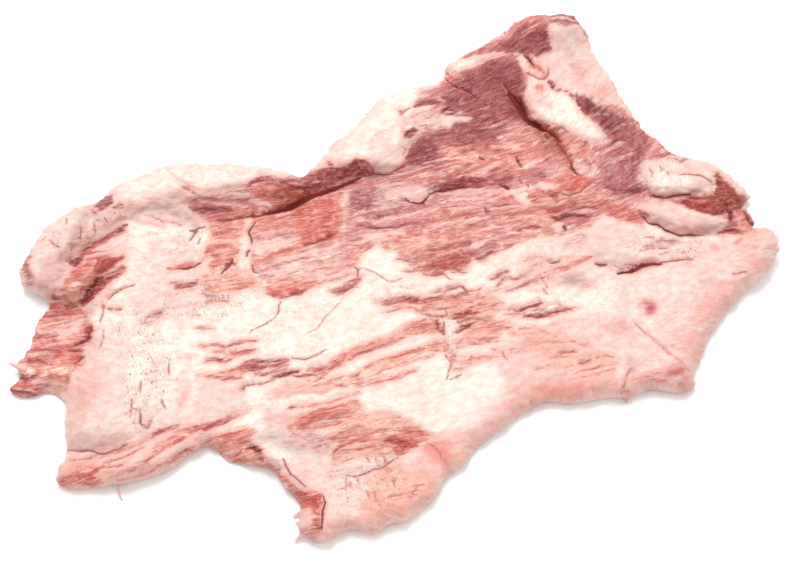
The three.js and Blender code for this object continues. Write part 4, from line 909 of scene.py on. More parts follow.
RIGHT_SHEET = [
    ("soft pink fat", 0, [50,-24, 74,-22, 96,-18, 114,-32, 122,-46, 120,-58, 92,-62, 58,-62, 30,-84,
        22,-94, 18,-84, 36,-62, 46,-50, 38,-40, 44,-30]),
    ("soft peach", 0, [44,-34, 56,-27, 66,-26, 78,-34, 88,-38, 88,-46, 70,-46, 54,-48, 46,-44]),
    ("soft rosy fat", 0, [44,-50, 56,-44, 74,-42, 88,-42, 92,-52, 90,-60, 58,-62, 44,-68]),
    ("soft salmon", 0, [50,-60, 58,-51, 74,-50, 92,-51, 94,-60, 64,-60]),
    ("soft salmon", 0, [93,-53, 100,-47.4, 108,-44.6, 117,-41, 121,-46, 120,-56, 100,-57]),
    ("soft rose", 2.6, [97,-50, 106,-48.2, 117,-45]),
    ("soft rosy fat", 0, [24,-88, 34,-72, 44,-62, 40,-74, 28,-90]),
    ("soft pink fat", 0, [112,10, 140,18, 162,24, 160,4, 146,-12, 128,-42, 120,-50, 116,-38, 104,-26,
        114,-12, 128,-4]),
    ("soft rosy fat", 0, [142,4, 148,22, 162,24, 160,6, 152,2]),
    ("soft rosy fat", 0, [124,-6, 136,-4, 142,-8, 134,-20, 126,-30, 120,-24, 124,-14]),
    ("soft rosy fat", 0, [116,-26, 124,-22, 130,-30, 120,-46, 114,-36]),
    ("soft peach", 3.5, [133,12.5, 135,15.5]),
    ("soft salmon", 2, [142.5,15.5, 147,19]),
    ("soft rosy fat", 4, [126,-3, 136,-4.5, 144,-3]),
    ("soft blush", 0, [101,-14.4, 102.6,-11.4, 105.4,-10.6, 107.8,-12.4, 108,-15.6, 106,-18, 103,-17.6]),
    ("soft blush", 0, [102.4,-14.5, 103.6,-12.4, 105.6,-12.4, 106.8,-14.4, 105.6,-16.4, 103.6,-16.4]),
    ("soft blush", 0, [101.6,-14.4, 103,-12, 105.4,-11.4, 107.2,-13, 107.4,-15.4, 105.6,-17.2,
        103.2,-16.8]),
    ("soft crimson", 0, [102.8,-14.6, 104.6,-12.8, 106.2,-14.6, 104.6,-16.4]),
    ("soft crimson", 0, [103.8,-14.8, 104.8,-13.8, 105.6,-14.8, 104.6,-15.8]),
    ("soft cream", 0, [58,-4, 70,-6, 92,-4, 97,-12, 84,-18, 66,-20, 58,-22, 54,-14]),
    ("soft ivory", 0, [64,-6, 72,-8, 88,-6, 92,-12, 84,-15, 68,-16, 62,-12]),
    ("soft rosy fat", 0, [85,-24, 92,-21, 97,-25, 91,-29]),
    ("soft rosy fat", 0, [109,-29, 121,-25, 126,-33, 120,-44, 113,-38]),
    ("soft rosy fat", 0, [55,8, 63,9, 69,2, 66,-3, 58,-1]),
    ("soft grey fat and shade", 0, [56,7, 62,7, 62,3, 57,3]),
    ("soft rose", 0, [92,-54, 99,-47, 104,-46, 110,-47, 119,-50, 119,-56, 100,-56]),
    ("soft dusky fat and shade", 0, [124,24, 132,28, 140,25, 136,21, 128,21]),
    # the edge of the lower fold
    ("soft rosy fat", 1.6, [97,-21, 101,-25, 106,-30, 110,-33, 115,-38, 119,-44]),
    ("pale pink", 1, [99,-22, 104,-27, 110,-32, 116,-37.6]),
    # painted shade in the lower fold
    ("soft dusky fat and shade", 4, [97,-38, 94.6,-44, 92.6,-51]),
    ("salmon", 0.9, [50,-24.3, 56,-24, 60,-25.8, 66,-28.6]),
    ("salmon", 0.9, [46,-27, 54,-26.4, 60,-27.6]),
    ("rosy fat", 1.6, [64,-26, 70,-27.4]),
    ("rose", 1.6, [65,-35.4, 69,-35, 74,-35.6]),
    ("salmon", 1.3, [70,-30, 76,-31.4, 80,-34]),
    ("rosy fat", 1.4, [56,-34, 64,-33, 72,-33.6]),
    ("rosy fat", 1.4, [80,-36.6, 84,-35.6]),
    ("rose", 2.2, [74,-39.8, 77,-40.4, 79.5,-39.7]),
    ("maroon", 1.1, [83,-37.2, 86,-37.4, 88.5,-38]),
    ("rose", 1.1, [81,-38.6, 85,-38]),
    ("salmon", 1.1, [56,-32, 64,-31, 70,-31.4]),
    ("salmon", 1.1, [62,-38, 70,-37.6, 76,-38.4]),
    ("salmon", 0.9, [56,-43.6, 64,-42, 72,-42]),
    ("salmon", 1, [72,-45.6, 80,-43.4, 90,-41]),
    ("salmon", 0.9, [70,-48, 80,-46, 89,-43.4]),
    ("rosy fat", 1.2, [46,-40.5, 58,-41.5, 70,-41]),
    ("pale pink", 1.1, [76,-46.6, 84,-44.2, 90,-42.4]),
    ("soft rose", 3, [104,-47.6, 111,-46, 118,-43.4]),
    ("salmon", 1, [94,-48.8, 100,-46.6, 108,-45]),
    ("salmon", 0.9, [96,-50.4, 103,-48.6, 110,-48]),
    ("rosy fat", 1.2, [104,-44.4, 110,-42.6, 116,-41]),
    ("red", 1.8, [47,-15, 54,-14.6, 61,-12.2]),
    ("red", 2.2, [53,-19, 60,-18.2, 67,-16.4, 73,-14.8]),
    ("brick", 1.3, [56,-16.4, 62,-15.2]),
    ("soft pink fat", 0, [44,-36, 60,-36, 64,-46, 50,-50, 42,-46]),
    ("soft rose", 0, [102,-46, 112,-43, 118,-43, 119,-50, 104,-51]),
]
BOTTOM_LOBE = [
    ("soft pink fat", 0, [-46,-84, -30,-82, -20,-86, 0,-84, 10,-80, 20,-84, 24,-92, 16,-104, 0,-114,
        -32,-120, -42,-112]),
    ("soft pale pink", 0, [-36,-86, -20,-88, -2,-90, -4,-100, -14,-106, -28,-104]),
    ("soft thin fat", 0, [4,-108, 12,-100, 22,-92, 34,-78, 34,-70, 24,-70, 14,-74, 12,-84, 14,-92]),
    ("soft thin fat", 0, [-28,-108, -14,-108, 0,-106, 6,-100, 4,-112, -14,-118, -28,-119]),
    # painted shade in the hollow between the middle and the bottom lobe
    ("soft dusky fat and shade", 0, [-58,-74, -50,-70, -40,-70.6, -32,-72, -24,-77, -30,-82, -38,-80, -50,-76]),
    ("dusky fat and shade", 0, [-46,-72, -38,-71.4, -30,-73.4, -27,-76.6, -31,-80, -38,-78, -45,-75]),
    ("mauve", 0.8, [-42,-73, -35,-73.4, -29,-76]),
    ("mauve", 0.8, [-38,-76.4, -34,-77, -31,-79]),
    ("mauve", 0.8, [-33,-74.4, -30,-77.4]),
    ("peach", 0, [-28,-75, -22,-70, -14,-66.3, -4,-65, 4,-67, 10,-69, 14,-73, 8,-78, 2,-79.5, -4,-81,
        -10,-81.6, -20,-83.5, -24,-85, -26,-81, -22,-78]),
    ("soft peach", 0, [-24,-66, -14,-62, -4,-62, 6,-65, 8,-69, 0,-70, -12,-69.5, -22,-72]),
    ("peach", 1.4, [-20,-67.6, -10,-65.6, 2,-66.4]),
    ("salmon", 1, [-18,-65.4, -8,-63.6, 2,-64.4]),
    ("salmon", 2, [-29,-73.5, -20,-71.2, -12,-71.6, -4,-72.3]),
    ("coral", 1, [-27,-74.4, -18,-72.4, -8,-72.8]),
    ("rose", 0.8, [-26,-72, -16,-69.6, -4,-69.8]),
    ("coral", 0, [-4,-73, 4,-70, 10,-69, 12,-73, 8,-77.5, 3,-80.5, -1,-80.5, -2,-77]),
    ("red", 1.8, [-6,-74.6, 0,-74.2, 4,-76.3, 2,-79.5]),
    ("coral", 1.2, [-22,-76, -14,-74.4, -6,-74.6]),
    ("pale pink", 1.2, [-25,-77.5, -18,-77.3, -10,-76.2, -4,-76]),
    ("red", 1.3, [-24.6,-80.3, -23,-77.8, -20,-76.6]),
    ("pale pink", 1.4, [-20,-81, -10,-79.3, -3,-77.6]),
    ("coral", 1.1, [-18,-79.3, -10,-77.8, -2,-77.2]),
    ("pink fat", 1.3, [-25,-84.5, -20,-81.7, -14,-80.7]),
    ("pale lean", 1.2, [-22,-68.3, -12,-67.2, 0,-67.5]),
    ("soft salmon", 0, [10,-72, 20,-75, 24,-82, 20,-88, 14,-84, 9,-79]),
    ("soft peach", 0, [-6,-97, 2,-92, 12,-92, 16,-98, 10,-105, 0,-110, -6,-106]),
    ("rosy fat", 0, [-6,-99, 2,-98, 8,-95, 13,-93.5, 15,-97, 8,-99.5, 2,-102.5, -4,-104]),
    ("salmon", 1.6, [-4,-100, 3,-98.6, 8,-96]),
    ("coral", 1.1, [4,-101, 8,-97.6, 11,-94]),
    ("rose", 0.9, [-2,-99, 4,-97, 9.6,-94]),
    # the turned edge on its left
    ("salmon", 0, [-80,-79, -74,-73.6, -68,-71, -60,-69.4, -57,-70.5, -58,-74, -54,-78.5, -50,-84,
        -46,-88, -40,-94, -36,-96, -30,-98, -28,-104, -30,-112, -32,-119, -42,-116, -44,-104, -50,-94,
        -58,-86, -70,-84]),
    ("soft peach", 0, [-78,-78, -70,-74, -64,-80, -56,-84, -62,-88, -74,-84]),
    ("pale pink", 0, [-69,-79.4, -63,-77.6, -59,-79, -62,-81.6, -67,-82]),
    ("coral", 2.4, [-70,-77, -64,-73.6, -60,-71.6]),
    ("coral", 1.4, [-66,-77.4, -61,-73.6]),
    ("coral", 2.4, [-67,-80.6, -64,-82.4]),
    ("pale pink", 1.2, [-66,-76, -62,-72.3, -59,-70.5]),
    ("peach", 2, [-62,-83, -56,-82, -53,-85]),
    ("blood", 2.2, [-59.5,-77.2, -56,-77.8, -53.5,-80]),
    ("red", 2, [-54.5,-83.4, -52,-83]),
    ("pale pink", 2, [-50,-80, -47,-84, -44,-89.5, -40,-93]),
    ("coral", 2.6, [-47,-86.6, -45.5,-90, -41,-94.5]),
    ("thin fat", 3, [-45,-92.5, -42.5,-95]),
    ("coral", 0, [-40,-97, -34,-95.6, -29.4,-97.6, -30,-104, -34,-102.6, -37,-104, -41,-101]),
    ("red", 1.4, [-36,-97.4, -33,-99, -30.6,-103]),
    ("pale pink", 0, [-39,-104.6, -34.5,-103.6, -32,-107, -33,-111, -37,-112.6, -41,-109]),
    ("thin fat", 1.4, [-36,-106, -34,-109]),
    ("rose", 1.8, [-32,-108, -30.3,-112]),
    ("thin fat", 2.4, [-37,-114, -33,-117]),
    ("soft salmon", 0, [-80,-73, -70,-72, -60,-70, -58,-84, -68,-84, -76,-78]),
    ("salmon", 2.6, [-97,-78, -90,-74, -83,-70, -78,-68]),
    ("red", 1.6, [-84,-70.6, -78,-68.4, -72,-66.6, -66,-63]),
    ("coral", 1.8, [-72,-74, -66,-71.6, -60,-70.4]),
    ("pale pink", 1.4, [-66,-79, -62,-77.6]),
    ("coral", 1.6, [-66,-82, -61,-79]),
    ("salmon", 1.4, [-104,-91, -98,-87.6, -92,-84.6, -86,-80.4]),
    ("soft peach", 0, [-6,-84, 10,-84, 17,-92, 8,-104, -8,-109, -14,-104]),
    ("soft peach", 0, [-20,-67, -6,-64, 4,-66, 2,-72, -12,-72, -22,-72]),
    ("mauve", 1.2, [-41,-72, -35,-74, -31,-78]),
    ("mauve", 1, [-36,-71.4, -30,-73.6, -27,-78]),
    # painted shade in the same hollow
    ("soft grey fat and shade", 0, [-50,-73, -40,-70, -30,-72, -28,-80, -36,-80, -42,-76]),
    ("thin fat", 2.4, [-17,-62, -8,-64, 1,-64]),
    ("thin fat", 2, [-16,-67.4, -6,-68.6, 3,-67.6]),
    ("thin fat", 1.6, [-18,-76.6, -10,-75.6, -4,-73.6]),
]
PAINT = (ROLLED_EDGE + LEFT_DOME + LEFT_END + UPPER_LEAN + PEAK + TALL_LOBE + PADS + MIDDLE_STREAKS
         + RIGHT_SHEET + BOTTOM_LOBE)

# Cracks, creases and tears: width and depth in mm, and x and y in turn.
CRACKS = [
    # the furrow along the roll
    (1.6, 1.4, [-64,30.4, -60,31, -55,32, -50,33.5]),
    (2.8, 2.2, [-56,31.8, -50,33.5, -45,35.4, -40,38, -36,40.6, -31,42.8]),
    (2.4, 2.2, [-37,40.2, -30,43.2, -25,45.2, -20,47.4, -15,50.2]),
    (1.0, 0.9, [-18,49, -14,50.4, -3,51.5, 0,53, 5,55.5]),
    (1.5, 1.3, [4.4,39.4, 6.6,37.6, 9,37, 11.6,37, 13,39, 15,41.4]),
    (0.8, 0.6, [11.6,37, 11.8,34.8]),
    (1.7, 1.4, [14.6,41, 17,42.6, 21,43, 26,44.4, 31,44.6]),
    (1.2, 1.0, [24,46.4, 30,47.4, 37,47.2]),
    (0.8, 0.6, [-13,28, -9,28.4, -4,30, 0,31.6, 6,33.6]),
    (0.8, 0.6, [-13,24.2, -6,24, -1,25]),
    (0.8, 0.5, [-20,36.4, -15,34.8, -9,35.6]),
    (1.0, 0.8, [-39,15.4, -34,16.6, -29,19.2, -25,22.4]),
    (0.8, 0.6, [-58,19, -50,20.6, -43,22]),
    (0.8, 0.5, [-56,24.6, -49,25.4]),
    (1.1, 0.9, [-88,23.2, -85.6,23.2, -84,24, -80,25.4]),
    (1.1, 0.9, [-84,24, -85.6,21, -87.2,18]),
    (0.8, 0.5, [-82.4,20, -83.4,16]),
    (0.8, 0.6, [-91,44.4, -87.6,43.2]),
    (0.9, 0.7, [-48,46.6, -42,44.4, -37,42.4]),
    (0.8, 0.5, [-52,51, -49.6,47]),
    (0.8, 0.6, [20,53, 24,51.6, 30,51]),
    (0.8, 0.6, [36,60.4, 38.8,57.6]),
    (0.8, 0.6, [8,61, 12,64.6]),
    (0.8, 0.5, [26,70, 31,66.6, 34,63.4]),
    (0.8, 0.5, [2,66, 4.6,64, 3,60.6]),
    (1.4, 1.2, [48.2,100.4, 49.4,97.4, 51,94]),
    (3.0, 2.2, [49.6,96.4, 51.6,92, 53.6,87.6, 55.6,83, 57.2,79]),
    (2.6, 2.0, [56,81.6, 58.4,78.2, 62,76, 66.5,73.4]),
    (1.4, 1.0, [66,73.6, 69,70.4, 71,67.4]),
    (1.0, 0.7, [72.4,64.6, 74,61, 75.4,58.4]),
    (1.0, 0.8, [75.6,56.4, 76.2,54, 77.2,51.4]),
    (0.9, 0.8, [57.4,105.6, 60.2,103.4, 63.6,101.6, 66.4,101.2, 68,104, 68.2,108]),
    (1.6, 1.2, [57.6,115.4, 60,112.6, 61.2,110.6, 62.4,109]),
    (0.9, 0.7, [33,95.6, 35,98.4, 36.4,99]),
    (1.2, 1.2, [104,29.5, 107,26, 110,25, 112,24.5, 115,22, 118,21, 121,20, 130,20]),
    (1.3, 1.0, [108,39.6, 115,39, 121,40, 126.5,40.5]),
    (1.5, 1.4, [91.4,1, 94,2.2, 97,2.4]),
    (2.6, 1.6, [95,2, 99,3.4, 103,5.6, 107,6.4, 112,6.2]),
    (1.0, 0.9, [108,6.8, 113,6.8, 119,7.6, 124.6,7.6]),
    (1.2, 1.0, [-116.5,25.4, -113,26]),
    (0.8, 0.7, [-140,-16, -132,-13, -128,-10]),
    (0.8, 0.7, [-127,-18, -135,-20.5, -147,-24]),
    (1.0, 0.8, [-108,-3.4, -113,-5, -117,-7.4, -119.6,-11]),
    (0.9, 0.7, [-120.4,-13.4, -121,-17, -121.6,-21]),
    (0.9, 0.9, [-131.5,-32, -128,-30, -126,-28, -124.5,-23]),
    (0.8, 0.7, [-130,-39, -127,-36.5]),
    (1.0, 0.8, [-153,-44, -149,-46, -144.5,-44.5]),
    (1.0, 0.9, [-131,-78.5, -122,-78.5, -118,-80, -115,-79.5, -110,-78, -106,-75.5]),
    (0.9, 0.7, [-106,-56, -106,-64]),
    (1.0, 0.8, [-102.5,-60, -102,-67, -99,-69, -98,-65]),
    (0.9, 0.7, [-95,-56, -92,-61]),
    (0.8, 0.6, [-92,-45.5, -92.5,-39.5]),
    (0.8, 0.6, [-120,-24, -120,-29, -121,-33]),
    (0.8, 0.5, [-103,-48, -103,-54]),
    (0.8, 0.6, [-139.5,29, -139.5,26]),
    (1.0, 0.8, [-121,35, -118.6,36, -115.6,36.8]),
    (0.8, 0.6, [-130,34.6, -127.6,32.6, -127,31]),
    (0.8, 0.6, [-137.4,17.6, -136,15.6, -136.4,13.4]),
    (0.7, 0.5, [-149,18, -147,20.4]),
    (0.7, 0.5, [-124,30, -122,27.4]),
    (0.9, 0.7, [-133,25.5, -133,18]),
    (0.8, 0.6, [-128,27.5, -127,22.5]),
    (0.8, 0.6, [-145.5,18.5, -144,16.5, -141,15]),
    (1.3, 1.1, [-89.5,4.9, -87,4.5, -84,5.8, -81,7.8]),
    (1.3, 1.0, [-61,32.6, -60,31]),
    (1.3, 1.1, [-59,28, -61.5,24, -62,22, -61,19, -60.5,16]),
    (1.5, 1.0, [-61,14, -62.6,12.4, -62.4,10]),
    (1.3, 1.1, [-68.7,10, -68.3,7, -71,4.4, -73,1.8]),
    (1.1, 0.9, [-68.3,7, -66,6.3]),
    (1.0, 0.9, [-60,7.5, -59.6,3, -56.8,2.4]),
    (1.1, 0.9, [-17.5,6, -15.7,3.5, -16,0]),
    (0.9, 0.7, [-54,-7.4, -48,-9.6, -45,-9, -40,-8, -36,-6]),
    (0.8, 0.7, [-60,-27, -59.5,-24.8, -57,-24, -53,-21.5, -50,-19]),
    (0.9, 0.8, [-50,-19, -48.5,-16, -48.5,-13, -46.5,-11]),
    (1.2, 0.8, [-49,-16, -48,-13.4]),
    (0.6, 0.15, [-22,-8, -22,-11, -25,-14.5, -29,-18.5, -31,-22, -33,-25, -38,-27.5]),
    (0.9, 0.8, [-43,-38, -37,-38.5, -33,-36.5, -28,-33.6]),
    (0.9, 0.8, [-50,-39.7, -46,-38.3, -43.5,-38]),
    (0.9, 0.8, [-51,-46.4, -47,-45.6, -43,-44, -38.5,-43]),
    (0.8, 0.6, [-58,-44.6, -52,-44.3, -47,-42.8]),
    (0.8, 0.7, [-62,-52.6, -61,-50.4, -57,-49.8]),
    (0.7, 0.5, [-17,6, -10,3, -6,0, -3,-2, 0,-2.2, 3,-0.6]),
    (1.2, 1.0, [27,-4.6, 28.4,-5.6, 29.7,-7.6]),
    (1.0, 0.8, [10.6,2.6, 13,1.4, 17,0.8, 20,1.6, 21.6,-0.4, 22.8,-2]),
    (0.9, 0.7, [2,8.8, 5,7.4, 9,7, 12.4,7.2]),
    (0.7, 0.5, [3,2.4, 7,2.8, 10,3.2]),
    (0.8, 0.6, [22,2.6, 25.4,2.4, 29,2.6]),
    (0.8, 0.6, [20,-15.4, 21,-17, 20,-19]),
    (0.9, 0.6, [11,-18, 16,-18.2, 20,-19]),
    (1.0, 0.8, [23,-17.6, 28,-17.4, 34,-16.2]),
    (0.8, 0.6, [60.3,-0.6, 62,-3, 63,-5.5]),
    (0.8, 0.5, [61,-5.6, 62,-7, 63,-9.4]),
    (1.1, 0.9, [48,-15.8, 52,-16, 54,-14.6, 57,-13.2, 61,-12]),
    (0.9, 0.7, [54,-19, 60,-18.4, 66,-16.8, 72,-15]),
    (0.8, 0.6, [44,-15.6, 50,-15.2]),
    (0.9, 0.8, [83,6.6, 86,6, 88.6,6]),
    (0.7, 0.5, [90.5,5.6, 92,4.6, 94,4, 96,5.6, 101,6.6]),
    (0.9, 0.8, [19.6,-21, 19.3,-24, 19.8,-27.6]),
    (0.8, 0.7, [16,-20, 17.5,-24, 19.5,-27]),
    (0.8, 0.6, [24,-26.6, 27,-25, 30.5,-23.6]),
    (0.8, 0.6, [20.5,-36, 20.2,-38, 22.3,-40, 21.5,-43, 20.3,-48.5]),
    (0.8, 0.6, [21.4,-48.3, 24,-46.6, 27,-45.2]),
    (0.8, 0.6, [43.4,-34.4, 43.8,-37, 45.3,-38.6]),
    (0.8, 0.5, [30.4,-36.6, 30.6,-38.6]),
    (0.9, 0.7, [139.5,0.8, 143,1.2, 147,2.2]),
    (0.8, 0.6, [121.5,9, 124.8,7.4]),
    (0.9, 0.8, [122,50.6, 128,50, 132,49.5, 136,46.5]),
    (0.8, 0.6, [109.4,54.4, 110.6,51.4, 109.8,48.6]),
    (0.7, 0.5, [113.6,55, 114.8,52.8, 113.8,50.8]),
    (0.7, 0.4, [117.6,52.4, 116.8,50]),
    (0.9, 0.7, [103,14.4, 106,14.8, 109,14.6]),
    (0.9, 0.7, [110,13.6, 113,14.2]),
    (0.9, 0.6, [107,16.4, 112,17.8, 119.6,17]),
    (0.7, 0.5, [104,18.6, 110,19.4]),
    (0.7, 0.4, [102,12.3, 109,13.4]),
    (0.8, 0.5, [112.5,13.2, 115,13.8]),
    (0.7, 0.4, [110,10, 115,11.6]),
    (1.0, 0.8, [69.6,72.4, 72,75.4, 74.4,73.6]),
    (0.9, 0.8, [75.6,57, 77,54, 77.2,52, 80,50]),
    (1.0, 0.9, [71,41, 74,39.8, 79,42.2, 84.4,47.6]),
    (1.0, 0.8, [84,47.6, 89,46, 92,43.5, 96,43, 100,44, 105,46, 108,42]),
    (0.9, 0.8, [52,60.5, 53,57, 54,55]),
    (0.9, 0.8, [56.8,46.4, 57,43]),
    (1.3, 1.2, [44,46.4, 47,45.6, 48.6,43]),
    (1.3, 1.2, [22.6,101.6, 24.6,99, 27,97.6, 30,96.8, 33,95, 35,92, 37,90.5]),
    (0.9, 0.7, [7,86, 4,84, 2,82]),
    (0.9, 0.8, [66,30, 70,28.4, 76,30, 81,31]),
    # the folds of the right sheet
    (0.7, 0.2, [98,-22, 102,-27, 106,-31, 110,-35, 115,-40, 119,-45.6]),
    (0.8, 0.5, [96,-42, 94,-44.6, 92,-50, 90,-54]),
    # the bottom lobe
    (0.9, 0.8, [-20.5,-90, -16,-90.5, -12,-89, -5,-86, 1,-81.5]),
    (0.7, 0.5, [-12,-81.5, -10.5,-85]),
    (0.7, 0.5, [-8.5,-82, -7,-85.5]),
    (0.7, 0.5, [-5.5,-81, -3.5,-85]),
    (0.7, 0.5, [-20,-91, -20,-96]),
    (0.7, 0.4, [-18,-92.5, -17.5,-95.5]),
    (0.8, 0.6, [-1.6,-90.5, -0.5,-95]),
    (0.7, 0.5, [-4,-86, -3,-90.5]),
    (0.8, 0.6, [-11.8,-96.5, -11,-99.5]),
    (0.7, 0.4, [-9,-97, -8,-101]),
    (0.6, 0.4, [-15,-91, -14.5,-94]),
    (0.7, 0.5, [5.5,-99.5, 7.5,-95.5, 9.5,-93.6]),
    (1.0, 0.9, [-45,-81.5, -43.5,-86, -42,-89, -38,-92.3, -35,-94.5]),
    (1.2, 1.2, [-29,-98, -28,-101, -28.7,-106, -29.3,-113]),
    (0.9, 0.7, [-33.5,-102.5, -32,-105, -29.6,-106.6]),
    (0.9, 0.7, [-32.5,-109.5, -30,-112.5]),
    (0.7, 0.4, [12,-76, 15,-77.6, 17,-79.5, 18,-83, 20,-85.6]),
    (1.0, 0.8, [-59,-77.4, -57,-77.8, -55,-79.4]),
    (0.8, 0.6, [-54,-82, -52,-84]),
    (0.8, 0.6, [-24.6,-80.5, -23,-77.8, -20,-76.4]),
    (0.9, 0.7, [3,-79.8, 1,-76.6, -3,-75]),
    (0.8, 0.5, [90.5,-52.4, 94,-53]),
]

# The small rags of skin at the edge: the radius in mm, and the line's x, y and height in turn.
TAGS = [
    (1.5, [91.5,-52,4.4, 92.8,-55.4,2.8, 92.4,-58.2,1.4]),
    (1.3, [-34.5,-112.6,4.4, -37,-115,2.6, -39.2,-117.4,1.2]),
    (1.9, [-34.6,-105,6, -37.6,-105.8,4.8, -40,-107.6,3.4]),
    (0.6, [-110,-91.5,4.4, -109,-95,2.6, -108.5,-98,1.2, -107,-100,0.8]),
    (1.3, [-149.6,-42.6,6, -153.6,-41.4,5.4, -157,-39.6,4.4]),
    (1.4, [-2,-106,4.4, -1.8,-108.6,2.8, -2.8,-110.8,1.4]),
]
TAG_THINNING = 0.6

# Where the fat is crazed with fine cracks: how much, and the ring's x and y in turn.
CRAZED = [
    (1.0, [-117,-22, -110,-46, -110,-66, -98,-73, -89,-60, -90,-34, -97,-20, -110,-14]),
    (0.8, [-88,4, -80,8, -62,6, -62,-12, -70,-20, -90,-20, -100,-14, -92,-4]),
    (0.6, [-108,26, -84,26, -62,30, -60,8, -84,8, -104,14]),
    (0.7, [-150,12, -140,30, -126,38, -114,34, -122,22, -138,12]),
    (1.0, [-24,-80, -2,-82, 4,-92, -4,-106, -22,-102, -26,-90]),
    (1.0, [96,20, 124,20, 132,14, 124,8, 104,8, 94,13]),
    (0.7, [107,42, 108,56, 120,58, 124,48, 120,41]),
    (0.9, [14,-12, 26,-12, 30,-28, 30,-42, 24,-50, 18,-48, 18,-28]),
    (0.7, [-62,-38, -40,-36, -30,-46, -44,-50, -62,-50]),
    (0.8, [54,0, 66,2, 66,-12, 54,-14]),
    (0.6, [-28,-8, -10,-6, 4,-2, 14,-6, 4,-14, -14,-16]),
    (0.5, [2,86, 4,68, -6,62, -16,66, -4,80]),
]

# The direction of the meat's grain, in degrees above the drawing's X, at places on it.
GRAIN_TURN = 17
GRAIN = [
    (-143, -30, 8), (-100, -85, 26), (-95, 25, 14), (-75, -40, 14), (-45, 25, 14), (-45, 5, 14),
    (-10, 40, 12), (-5, -32, 26), (-10, -75, 10), (20, 70, 16), (40, 100, 26), (52, 127, 35),
    (60, 40, 14), (97, 60, 36), (92, 84, 38), (60, -20, 18), (110, -20, 17), (130, 35, 10),
    (40, 20, 15), (20, -12, 6), (45, 0, 22), (-30, -62, 16),
]
GRAIN_REACH = 20.0
GRAIN_GRID = 2.0


# ---------------------------------------------------------------------------------------
# Small tools
# ---------------------------------------------------------------------------------------
def as_linear(rgb):
    """A colour out of 255 in sRGB as linear light."""
    share = np.asarray(rgb, float) / 255
    return np.where(share <= 0.04045, share / 12.92, ((share + 0.055) / 1.055) ** 2.4)


def tone_of(name):
    """The colour that a surface needs to look like the named colour in the studio's light."""
    return as_linear(COLOURS[name]) / LIGHT_ON_MEAT


def smooth_step(low, high, value):
    share = np.clip((value - low) / (high - low), 0, 1)
    return share * share * (3 - 2 * share)


def smooth_noise(x, y, seed):
    """Smooth noise from -1 to 1 that changes over about one unit of x or y."""
    column, row = np.floor(x).astype(np.int64), np.floor(y).astype(np.int64)
    fx, fy = x - column, y - row
    fx, fy = fx * fx * (3 - 2 * fx), fy * fy * (3 - 2 * fy)
    table = np.random.default_rng(seed).uniform(-1, 1, (256, 256))

    def corner(i, j):
        return table[(column + i) % 256, (row + j) % 256]

    near = corner(0, 0) * (1 - fx) + corner(1, 0) * fx
    far = corner(0, 1) * (1 - fx) + corner(1, 1) * fx
    return near * (1 - fy) + far * fy


def pairs(numbers):
    return list(zip(numbers[::2], numbers[1::2]))


def layered_noise(x, y, layers):
    return sum(amount * smooth_noise(x / size, y / size, seed) for amount, size, seed in layers)


def grain_noise(along, across, length, width, seed):
    return smooth_noise(along / length, across / width, seed)


def line_distance(x, y, line):
    """Distance to a line in mm, the share of the way along it, and 1 or -1 for the side."""
    lengths = [math.dist(a, b) for a, b in zip(line, line[1:])]
    best, share, side = np.full(x.shape, np.inf), np.zeros(x.shape), np.ones(x.shape)
    passed = 0.0
    for (ax, ay), (bx, by), length in zip(line, line[1:], lengths):
        dx, dy = (bx - ax) / length, (by - ay) / length
        along = np.clip((x - ax) * dx + (y - ay) * dy, 0, length)
        distance = np.hypot(x - ax - dx * along, y - ay - dy * along)
        closer = distance < best
        best = np.where(closer, distance, best)
        share = np.where(closer, (passed + along) / sum(lengths), share)
        side = np.where(closer, np.sign(dx * (y - ay) - dy * (x - ax)), side)
        passed += length
    return best, share, side


def is_inside(x, y, ring):
    found = np.zeros(x.shape, bool)
    for (ax, ay), (bx, by) in zip(ring, ring[1:] + ring[:1]):
        if ay != by:
            found ^= ((ay > y) != (by > y)) & (x < ax + (y - ay) * (bx - ax) / (by - ay))
    return found


def taper(share):
    """1 along the middle of a streak, falling to 0 at its ends."""
    return np.clip(4 * share * (1 - share), 0, 1) ** STREAK_TAPER


def depth_in_mark(x, y, width, line):
    """How far inside a patch or a tapered streak each point lies, in mm; below 0 outside."""
    if width:
        distance, share, _ = line_distance(x, y, line)
        return width / 2 * taper(share) - distance
    distance, _, _ = line_distance(x, y, line + line[:1])
    return np.where(is_inside(x, y, line), distance, -distance)


def near_line(x, y, line, reach):
    """The points in the box round a line, grown by a reach."""
    (x0, y0), (x1, y1) = np.min(line, axis=0) - reach, np.max(line, axis=0) + reach
    return np.flatnonzero((x > x0) & (x < x1) & (y > y0) & (y < y1))


# ---------------------------------------------------------------------------------------
# The slab's mesh
# ---------------------------------------------------------------------------------------
def select_only(piece):
    bpy.ops.object.select_all(action="DESELECT")
    piece.select_set(True)
    bpy.context.view_layer.objects.active = piece


def finish_with(piece, kind, **settings):
    """Adds a modifier and applies it."""
    modifier = piece.modifiers.new(kind, kind)
    for key, value in settings.items():
        setattr(modifier, key, value)
    select_only(piece)
    bpy.ops.object.modifier_apply(modifier=modifier.name)


